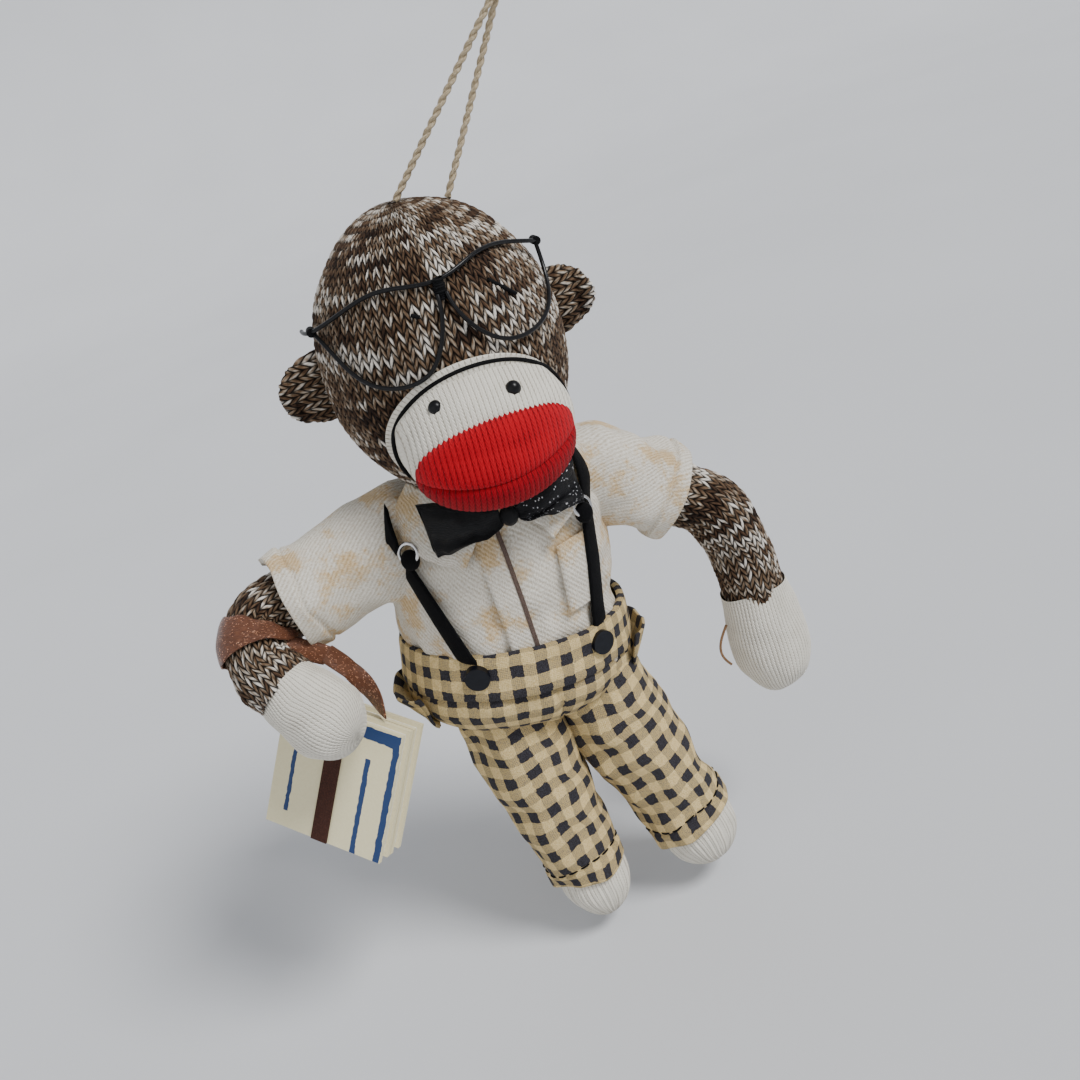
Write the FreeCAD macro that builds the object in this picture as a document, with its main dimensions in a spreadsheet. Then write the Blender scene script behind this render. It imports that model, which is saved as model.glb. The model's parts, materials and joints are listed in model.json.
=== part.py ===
"""Stuffed knitted monkey ornament in student dress, hung on a twine loop, with two books on a ribbon.

Millimetres, +Z up, the face looks along -Y. The monkey's right side is -X and its left side is +X.
Every place below is given in the figure frame, whose +Z is the body's upright axis and whose zero
height is close to the feet. The finished part's origin is the top of the twine loop, where put() moves
each piece.
"""
import FreeCAD
import Part
import math
import os

Vector = FreeCAD.Vector
Rotation = FreeCAD.Rotation

DIMENSIONS = {
    # head and face
    "HeadHalfWidth": 27.0, "HeadHalfHeight": 32.0, "SkinThickness": 1.2, "BodyGap": 0.5, "PieceGap": 0.05,
    "EarHalfReach": 11.5, "EarHalfDepth": 3.2, "EarHalfHeight": 7.6,
    "MuzzleHalfWidth": 18.6, "MuzzleHalfDepth": 14.5, "MuzzleHalfHeight": 14.4, "MuzzleTilt": 6.0,
    "LipHalfWidth": 17.0, "LipHalfHeight": 8.6, "LipRaise": 0.9,
    "EyeRadius": 1.6, "TrimCordRadius": 0.45, "BrowStitchRadius": 0.4,
    "WireRadius": 0.45, "BindingRadius": 0.95, "BindingLength": 4.0,
    # torso, shirt and trousers
    "HemHalfWidth": 25.5, "HemHalfDepth": 19.0, "ChestHalfWidth": 26.0, "ChestHalfDepth": 19.5,
    "ShoulderHalfWidth": 24.5, "ShoulderHalfDepth": 16.5, "NeckHalfWidth": 18.5, "NeckHalfDepth": 13.5,
    "ShirtThickness": 1.0, "StrapRaise": 1.1, "StrapWidth": 4.0, "TrimRaise": 0.6,
    "PlacketWidth": 3.0, "PocketWidth": 9.4, "PocketHeight": 16.0, "CollarReach": 9.0,
    "RingRadius": 2.2, "RingWire": 0.45, "StudRadius": 2.9, "StudHeight": 1.6,
    "TieWingLength": 15.0, "TieWingRoot": 5.0, "TieWingEnd": 11.0, "TieWingDepth": 3.0, "KnotSize": 5.2,
    "WaistHalfWidth": 27.5, "WaistHalfDepth": 21.0, "WaistbandHeight": 11.0, "WaistbandThickness": 1.2,
    "WaistTilt": 11.0, "SeatHalfWidth": 28.5, "SeatHalfDepth": 22.0, "SeatHalfHeight": 17.0,
    "PocketFlareRadius": 6.0, "NeckRadius": 9.0,
    # arms
    "SleeveRootRadius": 9.5, "SleeveHemRadius": 11.4, "SleeveThickness": 1.2, "UpperArmRadius": 7.2,
    "ForearmRadius": 7.4, "WristRadius": 7.2, "HandHalfWidth": 9.8, "RightHandHalfLength": 12.6,
    "LeftHandHalfLength": 14.5, "RightElbowRoom": 12.6, "LeftElbowRoom": 9.2, "ThreadRadius": 0.35,
    "RibbonThickness": 0.4, "RibbonWidth": 6.0,
    # legs
    "HipRadius": 12.6, "RightCuffRadius": 10.0, "LeftCuffRadius": 10.8, "TrouserThickness": 1.0,
    "LegTopRadius": 8.6, "AnkleRadius": 7.8, "RightFootRadius": 8.8, "LeftFootRadius": 9.6,
    "FootHalfLength": 12.0,
    # books and twine
    "BookWidth": 31.0, "BookHeight": 31.5, "CoverThickness": 1.2, "PagesThickness": 2.6, "PagesInset": 1.0,
    "BookSlit": 0.5, "StrapBandWidth": 4.2, "StrapBandThickness": 0.5, "TwineRadius": 0.8,
}

HEAD = (0.5, 0.0, 145.0)
MUZZLE = (0.8, -21.5, 132.0)
TWINE_EXITS = [(1.6, -2.0, 178.1), (12.2, -2.0, 175.2)]
TWINE_TOP = [(33.4, -2.6, 207.9), (35.7, 0.0, 208.9), (34.8, 2.4, 206.3)]
APEX = (35.2, 0.0, 208.3)
SHOULDERS = {"right": (-27.0, -1.0, 107.5), "left": (24.0, -1.0, 105.5)}
ELBOWS = {"right": (-61.5, -3.0, 101.5), "left": (50.0, -4.0, 82.5)}
WRISTS = {"right": (-58.5, -17.0, 90.5), "left": (53.4, -6.0, 60.0)}
HANDS = {"right": (-54.0, -22.6, 84.6), "left": (54.0, -6.5, 44.5)}
HIPS = {"right": (-17.5, -3.0, 53.5), "left": (10.0, -3.0, 49.0)}
CUFFS = {"right": (-11.5, -14.0, 8.5), "left": (20.3, -14.0, 9.0)}
FEET = {"right": (-11.2, -15.0, 5.0), "left": (20.8, -15.0, 6.5)}
WAIST = (-6.8, -1.0, 68.0)
BOOK_CORNER = (-40.6, -24.0, 73.2)
BOOK_ACROSS = Vector(-0.701, 0.615, 0.360)
BOOK_DOWN = Vector(-0.528, -0.110, -0.842)

doc = FreeCAD.newDocument("monkey_ornament")
sheet = doc.addObject("Spreadsheet::Sheet", "Sizes")
for row, (alias, value) in enumerate(DIMENSIONS.items(), start=1):
    sheet.set(f"B{row}", str(value))
    sheet.setAlias(f"B{row}", alias)
doc.recompute()
size = DIMENSIONS.get
nodes = []


def node(piece, label):
    """Names a finished sub-part."""
    piece.Label = label
    nodes.append(piece)
    return piece


def put(piece, at, rotation=None):
    """Places a piece at a figure-frame point, measured from the part's origin."""
    piece.Placement = FreeCAD.Placement(Vector(*at) - Vector(*APEX), rotation or Rotation())
    return piece


def bind(piece, **cells):
    """Binds properties to formulas of sheet cells."""
    for name, formula in cells.items():
        words = [f"Sizes.{w}" if w in DIMENSIONS else w for w in formula.split()]
        piece.setExpression(name, " ".join(words))
    return piece


def add(kind):
    return doc.addObject(f"Part::{kind}", f"{kind}_")


def ellipsoid(x_half, y_half, z_half, at, rotation=None):
    piece = bind(add("Ellipsoid"), Radius1=z_half, Radius2=x_half, Radius3=y_half)
    return put(piece, at, rotation)


def sphere(radius, at):
    return put(bind(add("Sphere"), Radius=radius), at)


def box(length, width, height, centre, rotation=None):
    """A box centred on a point, its sides along the rotated axes."""
    turn = rotation or Rotation()
    half = Vector(length / 2, width / 2, height / 2)
    piece = add("Box")
    piece.Length, piece.Width, piece.Height = length, width, height
    return put(piece, Vector(*centre) - turn.multVec(half), turn)


def rod(radius_a, radius_b, start, end):
    """A straight cone or cylinder between two points."""
    along = Vector(*end) - Vector(*start)
    piece = bind(add("Cone"), Radius1=radius_a, Radius2=f"{radius_b} + 0.0001")
    piece.Height = along.Length
    return put(piece, start, Rotation(Vector(0, 0, 1), along))


def fuse(*pieces):
    whole = add("MultiFuse")
    whole.Shapes = list(pieces)
    return whole


def cut(base, *tools):
    whole = add("Cut")
    whole.Base = base
    whole.Tool = tools[0] if len(tools) == 1 else fuse(*tools)
    return whole


def common(base, tool):
    whole = add("Common")
    whole.Base = base
    whole.Tool = tool
    return whole


def tube(label, points, radius, closed=False):
    """A wire bent smoothly through points; its radius is a sheet cell."""
    curve = Part.BSplineCurve()
    curve.interpolate([Vector(*p) - Vector(*APEX) for p in points], PeriodicFlag=closed)
    path = Part.Wire(curve.toShape())
    start = curve.value(curve.FirstParameter)
    ring = Part.Wire(Part.Circle(start, curve.tangent(curve.FirstParameter)[0], size(radius)).toShape())
    return feature(label, path.makePipeShell([ring], True, True))


def feature(label, shape):
    piece = doc.addObject("Part::Feature", label)
    piece.Shape = shape
    return node(piece, label)


def on_ellipsoid(centre, halves, x, z, lift=0.0):
    """The front point of an ellipsoid at a given x and z, lifted off it by a small amount."""
    u = (x - centre[0]) / halves[0]
    w = (z - centre[2]) / halves[2]
    y = centre[1] - halves[1] * math.sqrt(max(0.0, 1 - u * u - w * w))
    normal = Vector(u / halves[0], (y - centre[1]) / halves[1] ** 2, w / halves[2]).normalize()
    return Vector(x, y, z) + normal * lift


def head_form(grow):
    width, height = f"HeadHalfWidth + {grow}", f"HeadHalfHeight + {grow}"
    return ellipsoid(width, width, height, HEAD)


def muzzle_form(grow):
    turn = Rotation(Vector(0, 1, 0), size("MuzzleTilt"))
    return ellipsoid(f"MuzzleHalfWidth + {grow}", f"MuzzleHalfDepth + {grow}", f"MuzzleHalfHeight + {grow}",
                     MUZZLE, turn)


def make_head():
    skin = "-1 * SkinThickness"
    node(cut(head_form("0"), head_form(skin)), "head_skin")
    node(head_form(f"{skin} - PieceGap"), "head_stuffing")
    ears = (("right", (-26.5, 2.0, 147.4), 180), ("left", (27.5, 2.0, 146.4), 0))
    for side, at, turn in ears:
        ear = ellipsoid("EarHalfReach", "EarHalfDepth", "EarHalfHeight", at, Rotation(Vector(0, 0, 1), turn))
        node(cut(ear, head_form("PieceGap")), f"{side}_ear")


def make_muzzle():
    inner = "-1 * SkinThickness"
    node(cut(muzzle_form("0"), muzzle_form(inner), head_form("PieceGap")), "muzzle_skin")
    node(cut(muzzle_form(f"{inner} - PieceGap"), head_form("PieceGap")), "muzzle_stuffing")
    turn = Rotation(Vector(0, 1, 0), size("MuzzleTilt"))
    reach = size("MuzzleHalfDepth") + size("LipRaise")
    lens = ellipsoid("LipHalfWidth", f"{2 * reach}", "LipHalfHeight", (0.2, MUZZLE[1] - reach, 130.0), turn)
    node(cut(common(muzzle_form("LipRaise"), lens), muzzle_form("PieceGap"), head_form("PieceGap")), "lips")
    halves = (size("MuzzleHalfWidth"), size("MuzzleHalfDepth"), size("MuzzleHalfHeight"))
    for side, x, z in (("right", -8.0, 142.2), ("left", 7.3, 140.9)):
        eye = sphere("EyeRadius", on_ellipsoid(MUZZLE, halves, x, z))
        node(cut(eye, muzzle_form("PieceGap"), head_form("PieceGap")), f"{side}_eye")
    make_muzzle_cord()


def make_muzzle_cord():
    """The dark cord laid over the muzzle, from low on its right side over the top to its left side."""
    lift = size("TrimCordRadius") + 0.1
    turn = Rotation(Vector(0, 1, 0), size("MuzzleTilt"))
    halves = (size("MuzzleHalfWidth"), size("MuzzleHalfDepth"), size("MuzzleHalfHeight"))
    points = []
    for angle in range(-205, 16, 20):
        a = math.radians(angle)
        x = (halves[0] + lift) * math.cos(a)
        z = (halves[2] + lift) * -math.sin(a)
        points.append(turn.multVec(Vector(x, 0.0, z)) + Vector(*MUZZLE) + Vector(0, 2.5, 0))
    tube("muzzle_cord", [clear_of_head(p, lift) for p in points], "TrimCordRadius")


def clear_of_head(point, lift):
    """Moves a point forward until it clears the head's surface by the lift."""
    halves = (size("HeadHalfWidth"), size("HeadHalfWidth"), size("HeadHalfHeight"))
    surface = on_ellipsoid(HEAD, halves, point.x, point.z, lift)
    return Vector(point.x, min(point.y, surface.y), point.z)


def make_brow_stitches():
    halves = (size("HeadHalfWidth"), size("HeadHalfWidth"), size("HeadHalfHeight"))
    lift = size("BrowStitchRadius") + 0.1
    for side, ends in (("right", ((-5.6, 159.4), (-4.2, 158.6))), ("left", ((11.0, 160.2), (15.6, 155.4)))):
        start, end = (on_ellipsoid(HEAD, halves, x, z, lift) for x, z in ends)
        stitch = rod("BrowStitchRadius", "BrowStitchRadius", start, end)
        node(cut(stitch, head_form("PieceGap")), f"{side}_brow_stitch")


def spectacle_point(x, z):
    halves = (size("HeadHalfWidth"), size("HeadHalfWidth"), size("HeadHalfHeight"))
    return on_ellipsoid(HEAD, halves, x, z, size("WireRadius") + size("BodyGap") + 0.3)


def make_spectacles():
    """Bent-wire spectacles on the forehead: one brow wire, two drop-shaped rims and three bindings."""
    on_brow = ((-17.0, 162.6), (-9.0, 164.6), (1.2, 163.4), (10.0, 164.9), (18.0, 163.8))
    brow = [(-26.3, -3.0, 160.4), (-24.2, -9.5, 160.8)]
    brow += [spectacle_point(x, z) for x, z in on_brow]
    brow += [(25.2, -9.5, 162.0), (27.3, -3.0, 161.2)]
    tube("brow_wire", brow, "WireRadius")
    ends = {"right": Vector(-24.6, -8.2, 160.6), "left": Vector(25.7, -8.2, 161.8)}
    outlines = {
        "right": ((-21.0, 155.0), (-17.5, 149.5), (-12.0, 147.2), (-6.5, 148.2), (-2.2, 153.0), (0.4, 161.0)),
        "left": ((24.0, 154.6), (20.4, 149.4), (15.0, 148.0), (9.5, 149.2), (5.2, 153.0), (2.2, 161.0)),
    }
    for side, outline in outlines.items():
        rim = [ends[side]] + [spectacle_point(x, z) for x, z in outline]
        tube(f"{side}_rim_wire", rim, "WireRadius")
        offset = Vector(0, size("BindingLength") * 0.35, 0)
        binding = rod("BindingRadius", "BindingRadius", ends[side] - offset, ends[side] + offset)
        node(binding, f"{side}_end_binding")
    centre = spectacle_point(1.3, 162.2)
    half = Vector(size("BindingLength") / 2, 0, 0)
    node(rod("BindingRadius", "BindingRadius", centre - half, centre + half), "bridge_binding")


def ellipse(words, grow):
    """An ellipse whose half width and half depth are sheet cells, grown by an amount."""
    return bind(add("Ellipse"), MajorRadius=f"{words}Width + {grow}", MinorRadius=f"{words}Depth + {grow}")


def torso_form(grow, low=0.0):
    """The clothed trunk: a loft of five ellipses from the waist to the neck."""
    stations = (
        ("Hem", (-6.8, -1.0, 67.4 + low)), ("Hem", (-6.2, -1.0, 80.0)), ("Chest", (-4.0, -1.0, 96.0)),
        ("Shoulder", (-1.5, 0.0, 110.0)), ("Neck", (0.0, 0.5, 117.5)),
    )
    sections = []
    for word, at in stations:
        sections.append(put(ellipse(f"{word}Half", grow), at))
    loft = add("Loft")
    loft.Sections = sections
    loft.Solid = True
    return loft


def arm_room(side, angles):
    """Space for an arm's root and sleeve at rest and at the inner ends of its swing."""
    pivot = Vector(*SHOULDERS[side])
    along = Vector(*ELBOWS[side]) - pivot
    pieces = [sphere("SleeveRootRadius + BodyGap", pivot)]
    for angle in angles:
        end = pivot + Rotation(Vector(0, 1, 0), angle).multVec(along)
        pieces.append(rod("SleeveRootRadius + BodyGap", "SleeveHemRadius + 3", pivot, end))
    return fuse(*pieces)


def carve(shape):
    """Clears the head above the trunk and both arms beside it."""
    right, left = arm_room("right", (-28, -14, 0, 12)), arm_room("left", (-32, -16, 0, 12))
    return cut(shape, head_form("2 * BodyGap"), right, left)


def make_torso():
    skin = "-1 * ShirtThickness"
    room = put(bind(add("Cylinder"), Radius="NeckRadius + PieceGap", Height="30"), (0.5, 0, 92.0))
    node(cut(carve(torso_form(f"{skin} - PieceGap", 1.2)), room), "torso_stuffing")
    node(cut(carve(torso_form("0")), torso_form(skin, 1.1)), "shirt_body")
    neck = put(bind(add("Cylinder"), Radius="NeckRadius", Height="24"), (0.5, 0, 92.0))
    node(cut(neck, head_form("BodyGap")), "neck_stuffing")


def shirt_trim(label, region, raise_by="TrimRaise"):
    """A flat piece sewn on the shirt: the part of a slightly larger trunk that lies inside a region."""
    outer = common(torso_form(raise_by), region)
    right, left = arm_room("right", (-28, 0, 12)), arm_room("left", (-32, 0, 12))
    return node(cut(outer, torso_form("PieceGap"), head_form("2 * BodyGap"), right, left), label)


def slab(centre, width, depth, height, lean):
    """An upright box leaning in the XZ plane."""
    return box(width, depth, height, centre, Rotation(Vector(0, 1, 0), lean))


def make_shirt_trims():
    shirt_trim("shirt_placket", slab((-4.2, -21.0, 92.0), size("PlacketWidth"), 30.0, 30.0, 0.0))
    pocket = slab((9.0, -21.0, 93.0), size("PocketWidth"), 30.0, size("PocketHeight"), 8.0)
    shirt_trim("chest_pocket", pocket)
    points = []
    for x in (-12.0, 6.0):
        point = add("Prism")
        point.Polygon = 3
        bind(point, Circumradius="CollarReach", Height="40")
        turn = Rotation(Vector(1, 0, 0), 90) * Rotation(Vector(0, 0, 1), -90)
        points.append(put(point, (x, 0.0, 109.0), turn))
    shirt_trim("shirt_collar", fuse(*points), "2 * TrimRaise")
    braces = (("right", (-22.6, 0.0, 98.0), -11.5), ("left", (13.0, 0.0, 96.0), 12.0))
    for side, centre, lean in braces:
        shirt_trim(f"{side}_brace", slab(centre, size("StrapWidth"), 60.0, 46.0, lean), "StrapRaise")


def make_bow_tie():
    knot_at = Vector(-1.0, -23.0, 112.2)
    for side, turn in (("right", 90), ("left", -90)):
        wing = add("Wedge")
        depth = size("TieWingDepth") / 2
        root, end = size("TieWingRoot") / 2, size("TieWingEnd") / 2
        wing.Xmin, wing.Xmax, wing.X2min, wing.X2max = -depth, depth, -depth * 1.2, depth * 1.2
        wing.Zmin, wing.Zmax, wing.Z2min, wing.Z2max = -root, root, -end, end * 0.8
        wing.Ymin = 0.0
        bind(wing, Ymax="TieWingLength")
        offset = Vector(math.copysign(size("KnotSize") / 2, -turn), 0, -0.8)
        put(wing, knot_at + offset, Rotation(Vector(0, 0, 1), turn))
        node(cut(wing, torso_form("2 * TrimRaise + PieceGap")), f"{side}_tie_wing")
    side_length = size("KnotSize") - 0.1
    knot = box(side_length, 4.4, side_length, knot_at)
    node(cut(knot, torso_form("2 * TrimRaise + PieceGap")), "tie_knot")


def waist_ring(grow, low, height):
    """A tilted elliptic prism round the waist."""
    ring = ellipse("WaistHalf", grow)
    put(ring, (WAIST[0], WAIST[1], WAIST[2] + low), Rotation(Vector(0, 1, 0), size("WaistTilt")))
    prism = add("Extrusion")
    prism.Base = ring
    prism.DirMode = "Normal"
    prism.Solid = True
    prism.LengthFwd = height
    return prism


def seat_form(grow):
    turn = Rotation(Vector(0, 1, 0), size("WaistTilt"))
    return ellipsoid(f"SeatHalfWidth + {grow}", f"SeatHalfDepth + {grow}", f"SeatHalfHeight + {grow}",
                     (-5.5, -1.5, 66.0), turn)


def make_trousers():
    height = size("WaistbandHeight")
    inside = waist_ring("-1 * WaistbandThickness", -2.0, height + 4)
    node(cut(waist_ring("0", 0.0, height), inside, torso_form("StrapRaise + PieceGap")), "trouser_waistband")
    legs_room = [sphere("HipRadius + BodyGap", HIPS[side]) for side in ("right", "left")]
    below = box(90.0, 90.0, 30.0, (-4.0, -1.0, 46.2), Rotation(Vector(0, 1, 0), size("WaistTilt")))
    above = waist_ring("10", -0.05, 40.0)
    node(cut(seat_form("0"), below, above, torso_form("PieceGap"), *legs_room), "trouser_seat")
    for side, x, z in (("right", -31.0, 64.0), ("left", 20.5, 58.5)):
        flare = rod("PocketFlareRadius", "PocketFlareRadius - 3", (x, -3.0, z), (x, -3.0, z + 7.0))
        leg_room = sphere("HipRadius + BodyGap", HIPS[side])
        pocket = cut(flare, seat_form("PieceGap"), waist_ring("PieceGap", -0.05, 20.0), leg_room)
        node(pocket, f"{side}_hip_pocket")


def make_studs_and_rings():
    for side, x, z in (("right", -19.4, 77.4), ("left", 8.8, 72.2)):
        u = (x - WAIST[0]) / size("WaistHalfWidth")
        y = WAIST[1] - size("WaistHalfDepth") * math.sqrt(1 - u * u)
        stud = bind(add("Cylinder"), Radius="StudRadius", Height="StudHeight + 2")
        put(stud, (x, y + 1.4, z), Rotation(Vector(0, 0, 1), Vector(u * 0.7, -1, 0)))
        node(cut(stud, waist_ring("PieceGap", -5.0, 30.0)), f"{side}_brace_stud")
    for side, at in (("right", (-23.8, -15.7, 110.2)), ("left", (15.4, -19.1, 106.2))):
        ring = bind(add("Torus"), Radius1="RingRadius", Radius2="RingWire")
        put(ring, at, Rotation(Vector(0, 0, 1), Vector(0.4 if side == "left" else -0.6, -1, 0.4)))
        node(ring, f"{side}_brace_ring")


def toward(start, end, distance):
    """The point a given distance from start towards end."""
    along = Vector(*end) - Vector(*start)
    return Vector(*start) + along.normalize() * distance


def make_arm(side):
    shoulder, elbow, wrist = SHOULDERS[side], ELBOWS[side], WRISTS[side]
    elbow_room = sphere(f"{side.capitalize()}ElbowRoom", elbow)
    reach = (Vector(*elbow) - Vector(*shoulder)).Length
    arm = fuse(sphere("UpperArmRadius", shoulder), rod("UpperArmRadius", "UpperArmRadius", shoulder, elbow))
    node(cut(arm, elbow_room), f"{side}_upper_arm")
    hem = toward(shoulder, elbow, reach - size("ForearmRadius") - 4.0)
    outside = rod("SleeveRootRadius", "SleeveHemRadius", shoulder, hem)
    sleeve = fuse(sphere("SleeveRootRadius", shoulder), outside)
    beyond = toward(shoulder, hem, 40.0)
    lining = rod("UpperArmRadius + PieceGap", "SleeveHemRadius - SleeveThickness", shoulder, beyond)
    inside = fuse(sphere("UpperArmRadius + PieceGap", shoulder), lining)
    node(cut(sleeve, inside), f"{side}_sleeve")
    forearm = fuse(sphere("ForearmRadius", elbow), rod("ForearmRadius", "WristRadius", elbow, wrist))
    node(cut(forearm, mitt_form(side, "PieceGap")), f"{side}_forearm")
    node(mitt_form(side, "0"), f"{side}_hand")


def mitt_form(side, grow):
    """The knitted mitt of a hand, lying along the line from the wrist."""
    turn = Rotation(Vector(0, 0, 1), Vector(*HANDS[side]) - Vector(*WRISTS[side]))
    return ellipsoid(f"HandHalfWidth + {grow}", f"HandHalfWidth - 2 + {grow}",
                     f"{side.capitalize()}HandHalfLength + {grow}", HANDS[side], turn)


def make_leg(side):
    hip, cuff, foot = HIPS[side], CUFFS[side], FEET[side]
    word = side.capitalize()
    turn = Rotation(Vector(0, 0, -1), Vector(*cuff) - Vector(*hip))

    def foot_form(grow):
        radius = f"{word}FootRadius + {grow}"
        return ellipsoid(radius, radius, f"FootHalfLength + {grow}", foot, turn)

    node(foot_form("0"), f"{side}_foot")
    leg = rod("LegTopRadius", "AnkleRadius", toward(hip, cuff, 4.0), toward(cuff, hip, 2.0))
    node(cut(leg, foot_form("PieceGap")), f"{side}_leg")
    cloth = fuse(sphere("HipRadius", hip), rod("HipRadius", f"{word}CuffRadius", hip, cuff))
    high, low = toward(hip, cuff, 3.5), toward(hip, cuff, 60.0)
    inside = rod("LegTopRadius + PieceGap", f"{word}CuffRadius - TrouserThickness", high, low)
    node(cut(cloth, inside, foot_form("PieceGap")), f"{side}_trouser_leg")


def book_turn():
    """The turn that carries -X across the cover, -Z down the cover and +Y through the thickness."""
    down = BOOK_DOWN.normalize()
    across = BOOK_ACROSS - down * BOOK_ACROSS.dot(down)
    return Rotation(across.normalize() * -1, Vector(), down * -1, "XZY")


def book_block(low, high):
    """A box in the books' own axes: X spine to fore edge, Y front to back, Z up, top corner at zero."""
    turn = book_turn()
    centre = Vector(*BOOK_CORNER) + turn.multVec((Vector(*low) + Vector(*high)) / 2)
    return box(*(Vector(*high) - Vector(*low)), centre, turn)


def make_books():
    """Two thin books, one behind the other, each a spine and two boards round a block of pages."""
    width, height = size("BookWidth"), size("BookHeight")
    cover, pages = size("CoverThickness"), size("PagesThickness")
    inset, gap = size("PagesInset"), 0.02
    middle, half_band = -width * 0.52, size("StrapBandWidth") / 2
    band_low = (middle - half_band, -size("StrapBandThickness"), -height)
    node(book_block(band_low, (middle + half_band, -gap, 0.0)), "book_strap")
    front = 0.0
    for name in ("front", "back"):
        inner, outer = front + cover, front + cover + pages
        boards = [book_block((-width, front, -height), (0.0, inner, 0.0)),
                  book_block((-width, outer, -height), (0.0, outer + cover, 0.0)),
                  book_block((-width, inner, -height), (cover - width, outer, 0.0))]
        node(fuse(*boards), f"{name}_book_cover")
        node(book_block((cover - width + gap, inner + gap, inset - height), (-inset, outer - gap, -inset)),
             f"{name}_book_pages")
        front = outer + cover + size("BookSlit")
    return Vector(*BOOK_CORNER) + book_turn().multVec(Vector(-9.0, front / 2, 0.1))


def make_ribbon(tail_foot):
    """The satin ribbon: a band round the right forearm and a tail down to the books."""
    elbow, wrist = ELBOWS["right"], WRISTS["right"]
    low, high = toward(elbow, wrist, 1.5), toward(elbow, wrist, 1.5 + size("RibbonWidth"))
    outside = "ForearmRadius + RibbonThickness + 0.2"
    band = rod(outside, outside, low, high)
    beyond = toward(low, high, 12.0)
    inside = rod("ForearmRadius + 0.15", "ForearmRadius + 0.15", toward(low, high, -1.0), beyond)
    node(cut(band, inside, mitt_form("right", "PieceGap")), "arm_ribbon")
    top = Vector(-49.2, -11.4, 94.0)
    along = tail_foot - top
    middle = (top + tail_foot) * 0.5
    turn = Rotation(Vector(0, 0, -1), along)
    node(box(size("RibbonWidth") * 0.6, size("RibbonThickness"), along.Length, middle, turn), "ribbon_tail")


def make_hand_thread():
    start = Vector(43.4, -7.5, 53.5)
    node(rod("ThreadRadius", "ThreadRadius", start, start + Vector(-3.2, -1.0, -9.5)), "hand_thread")


def cord_path(points):
    """Straight runs joined by tangent arcs, each arc as large as its two runs allow."""
    edges, start = [], points[0]
    for before, corner, after in zip(points, points[1:], points[2:]):
        back, ahead = before - corner, after - corner
        turn = math.pi - back.getAngle(ahead)
        reach = 0.45 * min(back.Length, ahead.Length)
        radius = reach / math.tan(turn / 2)
        back, ahead = back.normalize(), ahead.normalize()
        middle = (back + ahead).normalize()
        centre_distance = radius / math.cos(turn / 2)
        low, high = corner + back * reach, corner + ahead * reach
        edges.append(Part.LineSegment(start, low).toShape())
        edges.append(Part.Arc(low, corner + middle * (centre_distance - radius), high).toShape())
        start = high
    edges.append(Part.LineSegment(start, points[-1]).toShape())
    return Part.Wire(edges)


def make_twine():
    route = [TWINE_EXITS[0], *TWINE_TOP, TWINE_EXITS[1]]
    points = [Vector(*p) - Vector(*APEX) for p in route]
    path = cord_path(points)
    radius = size("TwineRadius")
    ring = Part.Wire(Part.Circle(points[0], points[1] - points[0], radius).toShape())
    shape = path.makePipeShell([ring], True, True)
    print(f"twine length {path.Length:.1f} mm")
    feature("hanging_twine", shape)


def write_parts():
    doc.recompute()
    for piece in doc.Objects:
        if "Invalid" in piece.State or "Error" in piece.State:
            raise RuntimeError(f"{piece.Label} did not compute")
    os.makedirs("parts", exist_ok=True)
    for piece in nodes:
        if piece.Shape.isNull() or not piece.Shape.isValid():
            raise RuntimeError(f"{piece.Label} has no valid shape")
        piece.Shape.exportStep(f"parts/{piece.Label}.step")
    print(len(nodes), "parts written")


make_head()
make_muzzle()
make_brow_stitches()
make_spectacles()
make_torso()
make_shirt_trims()
make_bow_tie()
make_trousers()
make_studs_and_rings()
for hand_side in ("right", "left"):
    make_arm(hand_side)
    make_leg(hand_side)
make_ribbon(make_books())
make_hand_thread()
make_twine()
write_parts()
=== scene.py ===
"""Looks of the stuffed knitted monkey ornament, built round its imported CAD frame."""
import json
import math
import bpy
import numpy as np
from mathutils import Matrix, Vector, noise


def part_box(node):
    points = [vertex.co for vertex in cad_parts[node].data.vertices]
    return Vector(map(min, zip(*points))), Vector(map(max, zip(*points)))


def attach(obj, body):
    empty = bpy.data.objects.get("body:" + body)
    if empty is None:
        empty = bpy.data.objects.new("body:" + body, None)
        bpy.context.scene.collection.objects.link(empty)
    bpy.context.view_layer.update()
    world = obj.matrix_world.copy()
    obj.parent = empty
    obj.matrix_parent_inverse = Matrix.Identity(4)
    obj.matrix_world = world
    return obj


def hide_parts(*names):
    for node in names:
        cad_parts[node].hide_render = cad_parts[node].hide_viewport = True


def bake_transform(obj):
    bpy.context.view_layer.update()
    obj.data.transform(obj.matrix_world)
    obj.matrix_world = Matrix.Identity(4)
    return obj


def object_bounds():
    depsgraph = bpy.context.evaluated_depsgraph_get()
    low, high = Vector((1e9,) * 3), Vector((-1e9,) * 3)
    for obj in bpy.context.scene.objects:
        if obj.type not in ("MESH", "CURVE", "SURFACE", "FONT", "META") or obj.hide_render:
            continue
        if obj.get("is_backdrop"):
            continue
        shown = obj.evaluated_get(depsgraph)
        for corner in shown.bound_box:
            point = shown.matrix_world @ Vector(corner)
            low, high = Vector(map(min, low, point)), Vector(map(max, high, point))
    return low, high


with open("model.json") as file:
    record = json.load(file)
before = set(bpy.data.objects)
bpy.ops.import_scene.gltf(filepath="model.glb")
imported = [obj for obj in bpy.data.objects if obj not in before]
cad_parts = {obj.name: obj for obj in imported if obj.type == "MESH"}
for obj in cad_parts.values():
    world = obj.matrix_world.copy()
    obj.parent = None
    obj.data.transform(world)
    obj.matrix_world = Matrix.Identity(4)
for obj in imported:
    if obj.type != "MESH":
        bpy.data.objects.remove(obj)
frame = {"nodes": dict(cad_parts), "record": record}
low_before, high_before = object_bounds()

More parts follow.
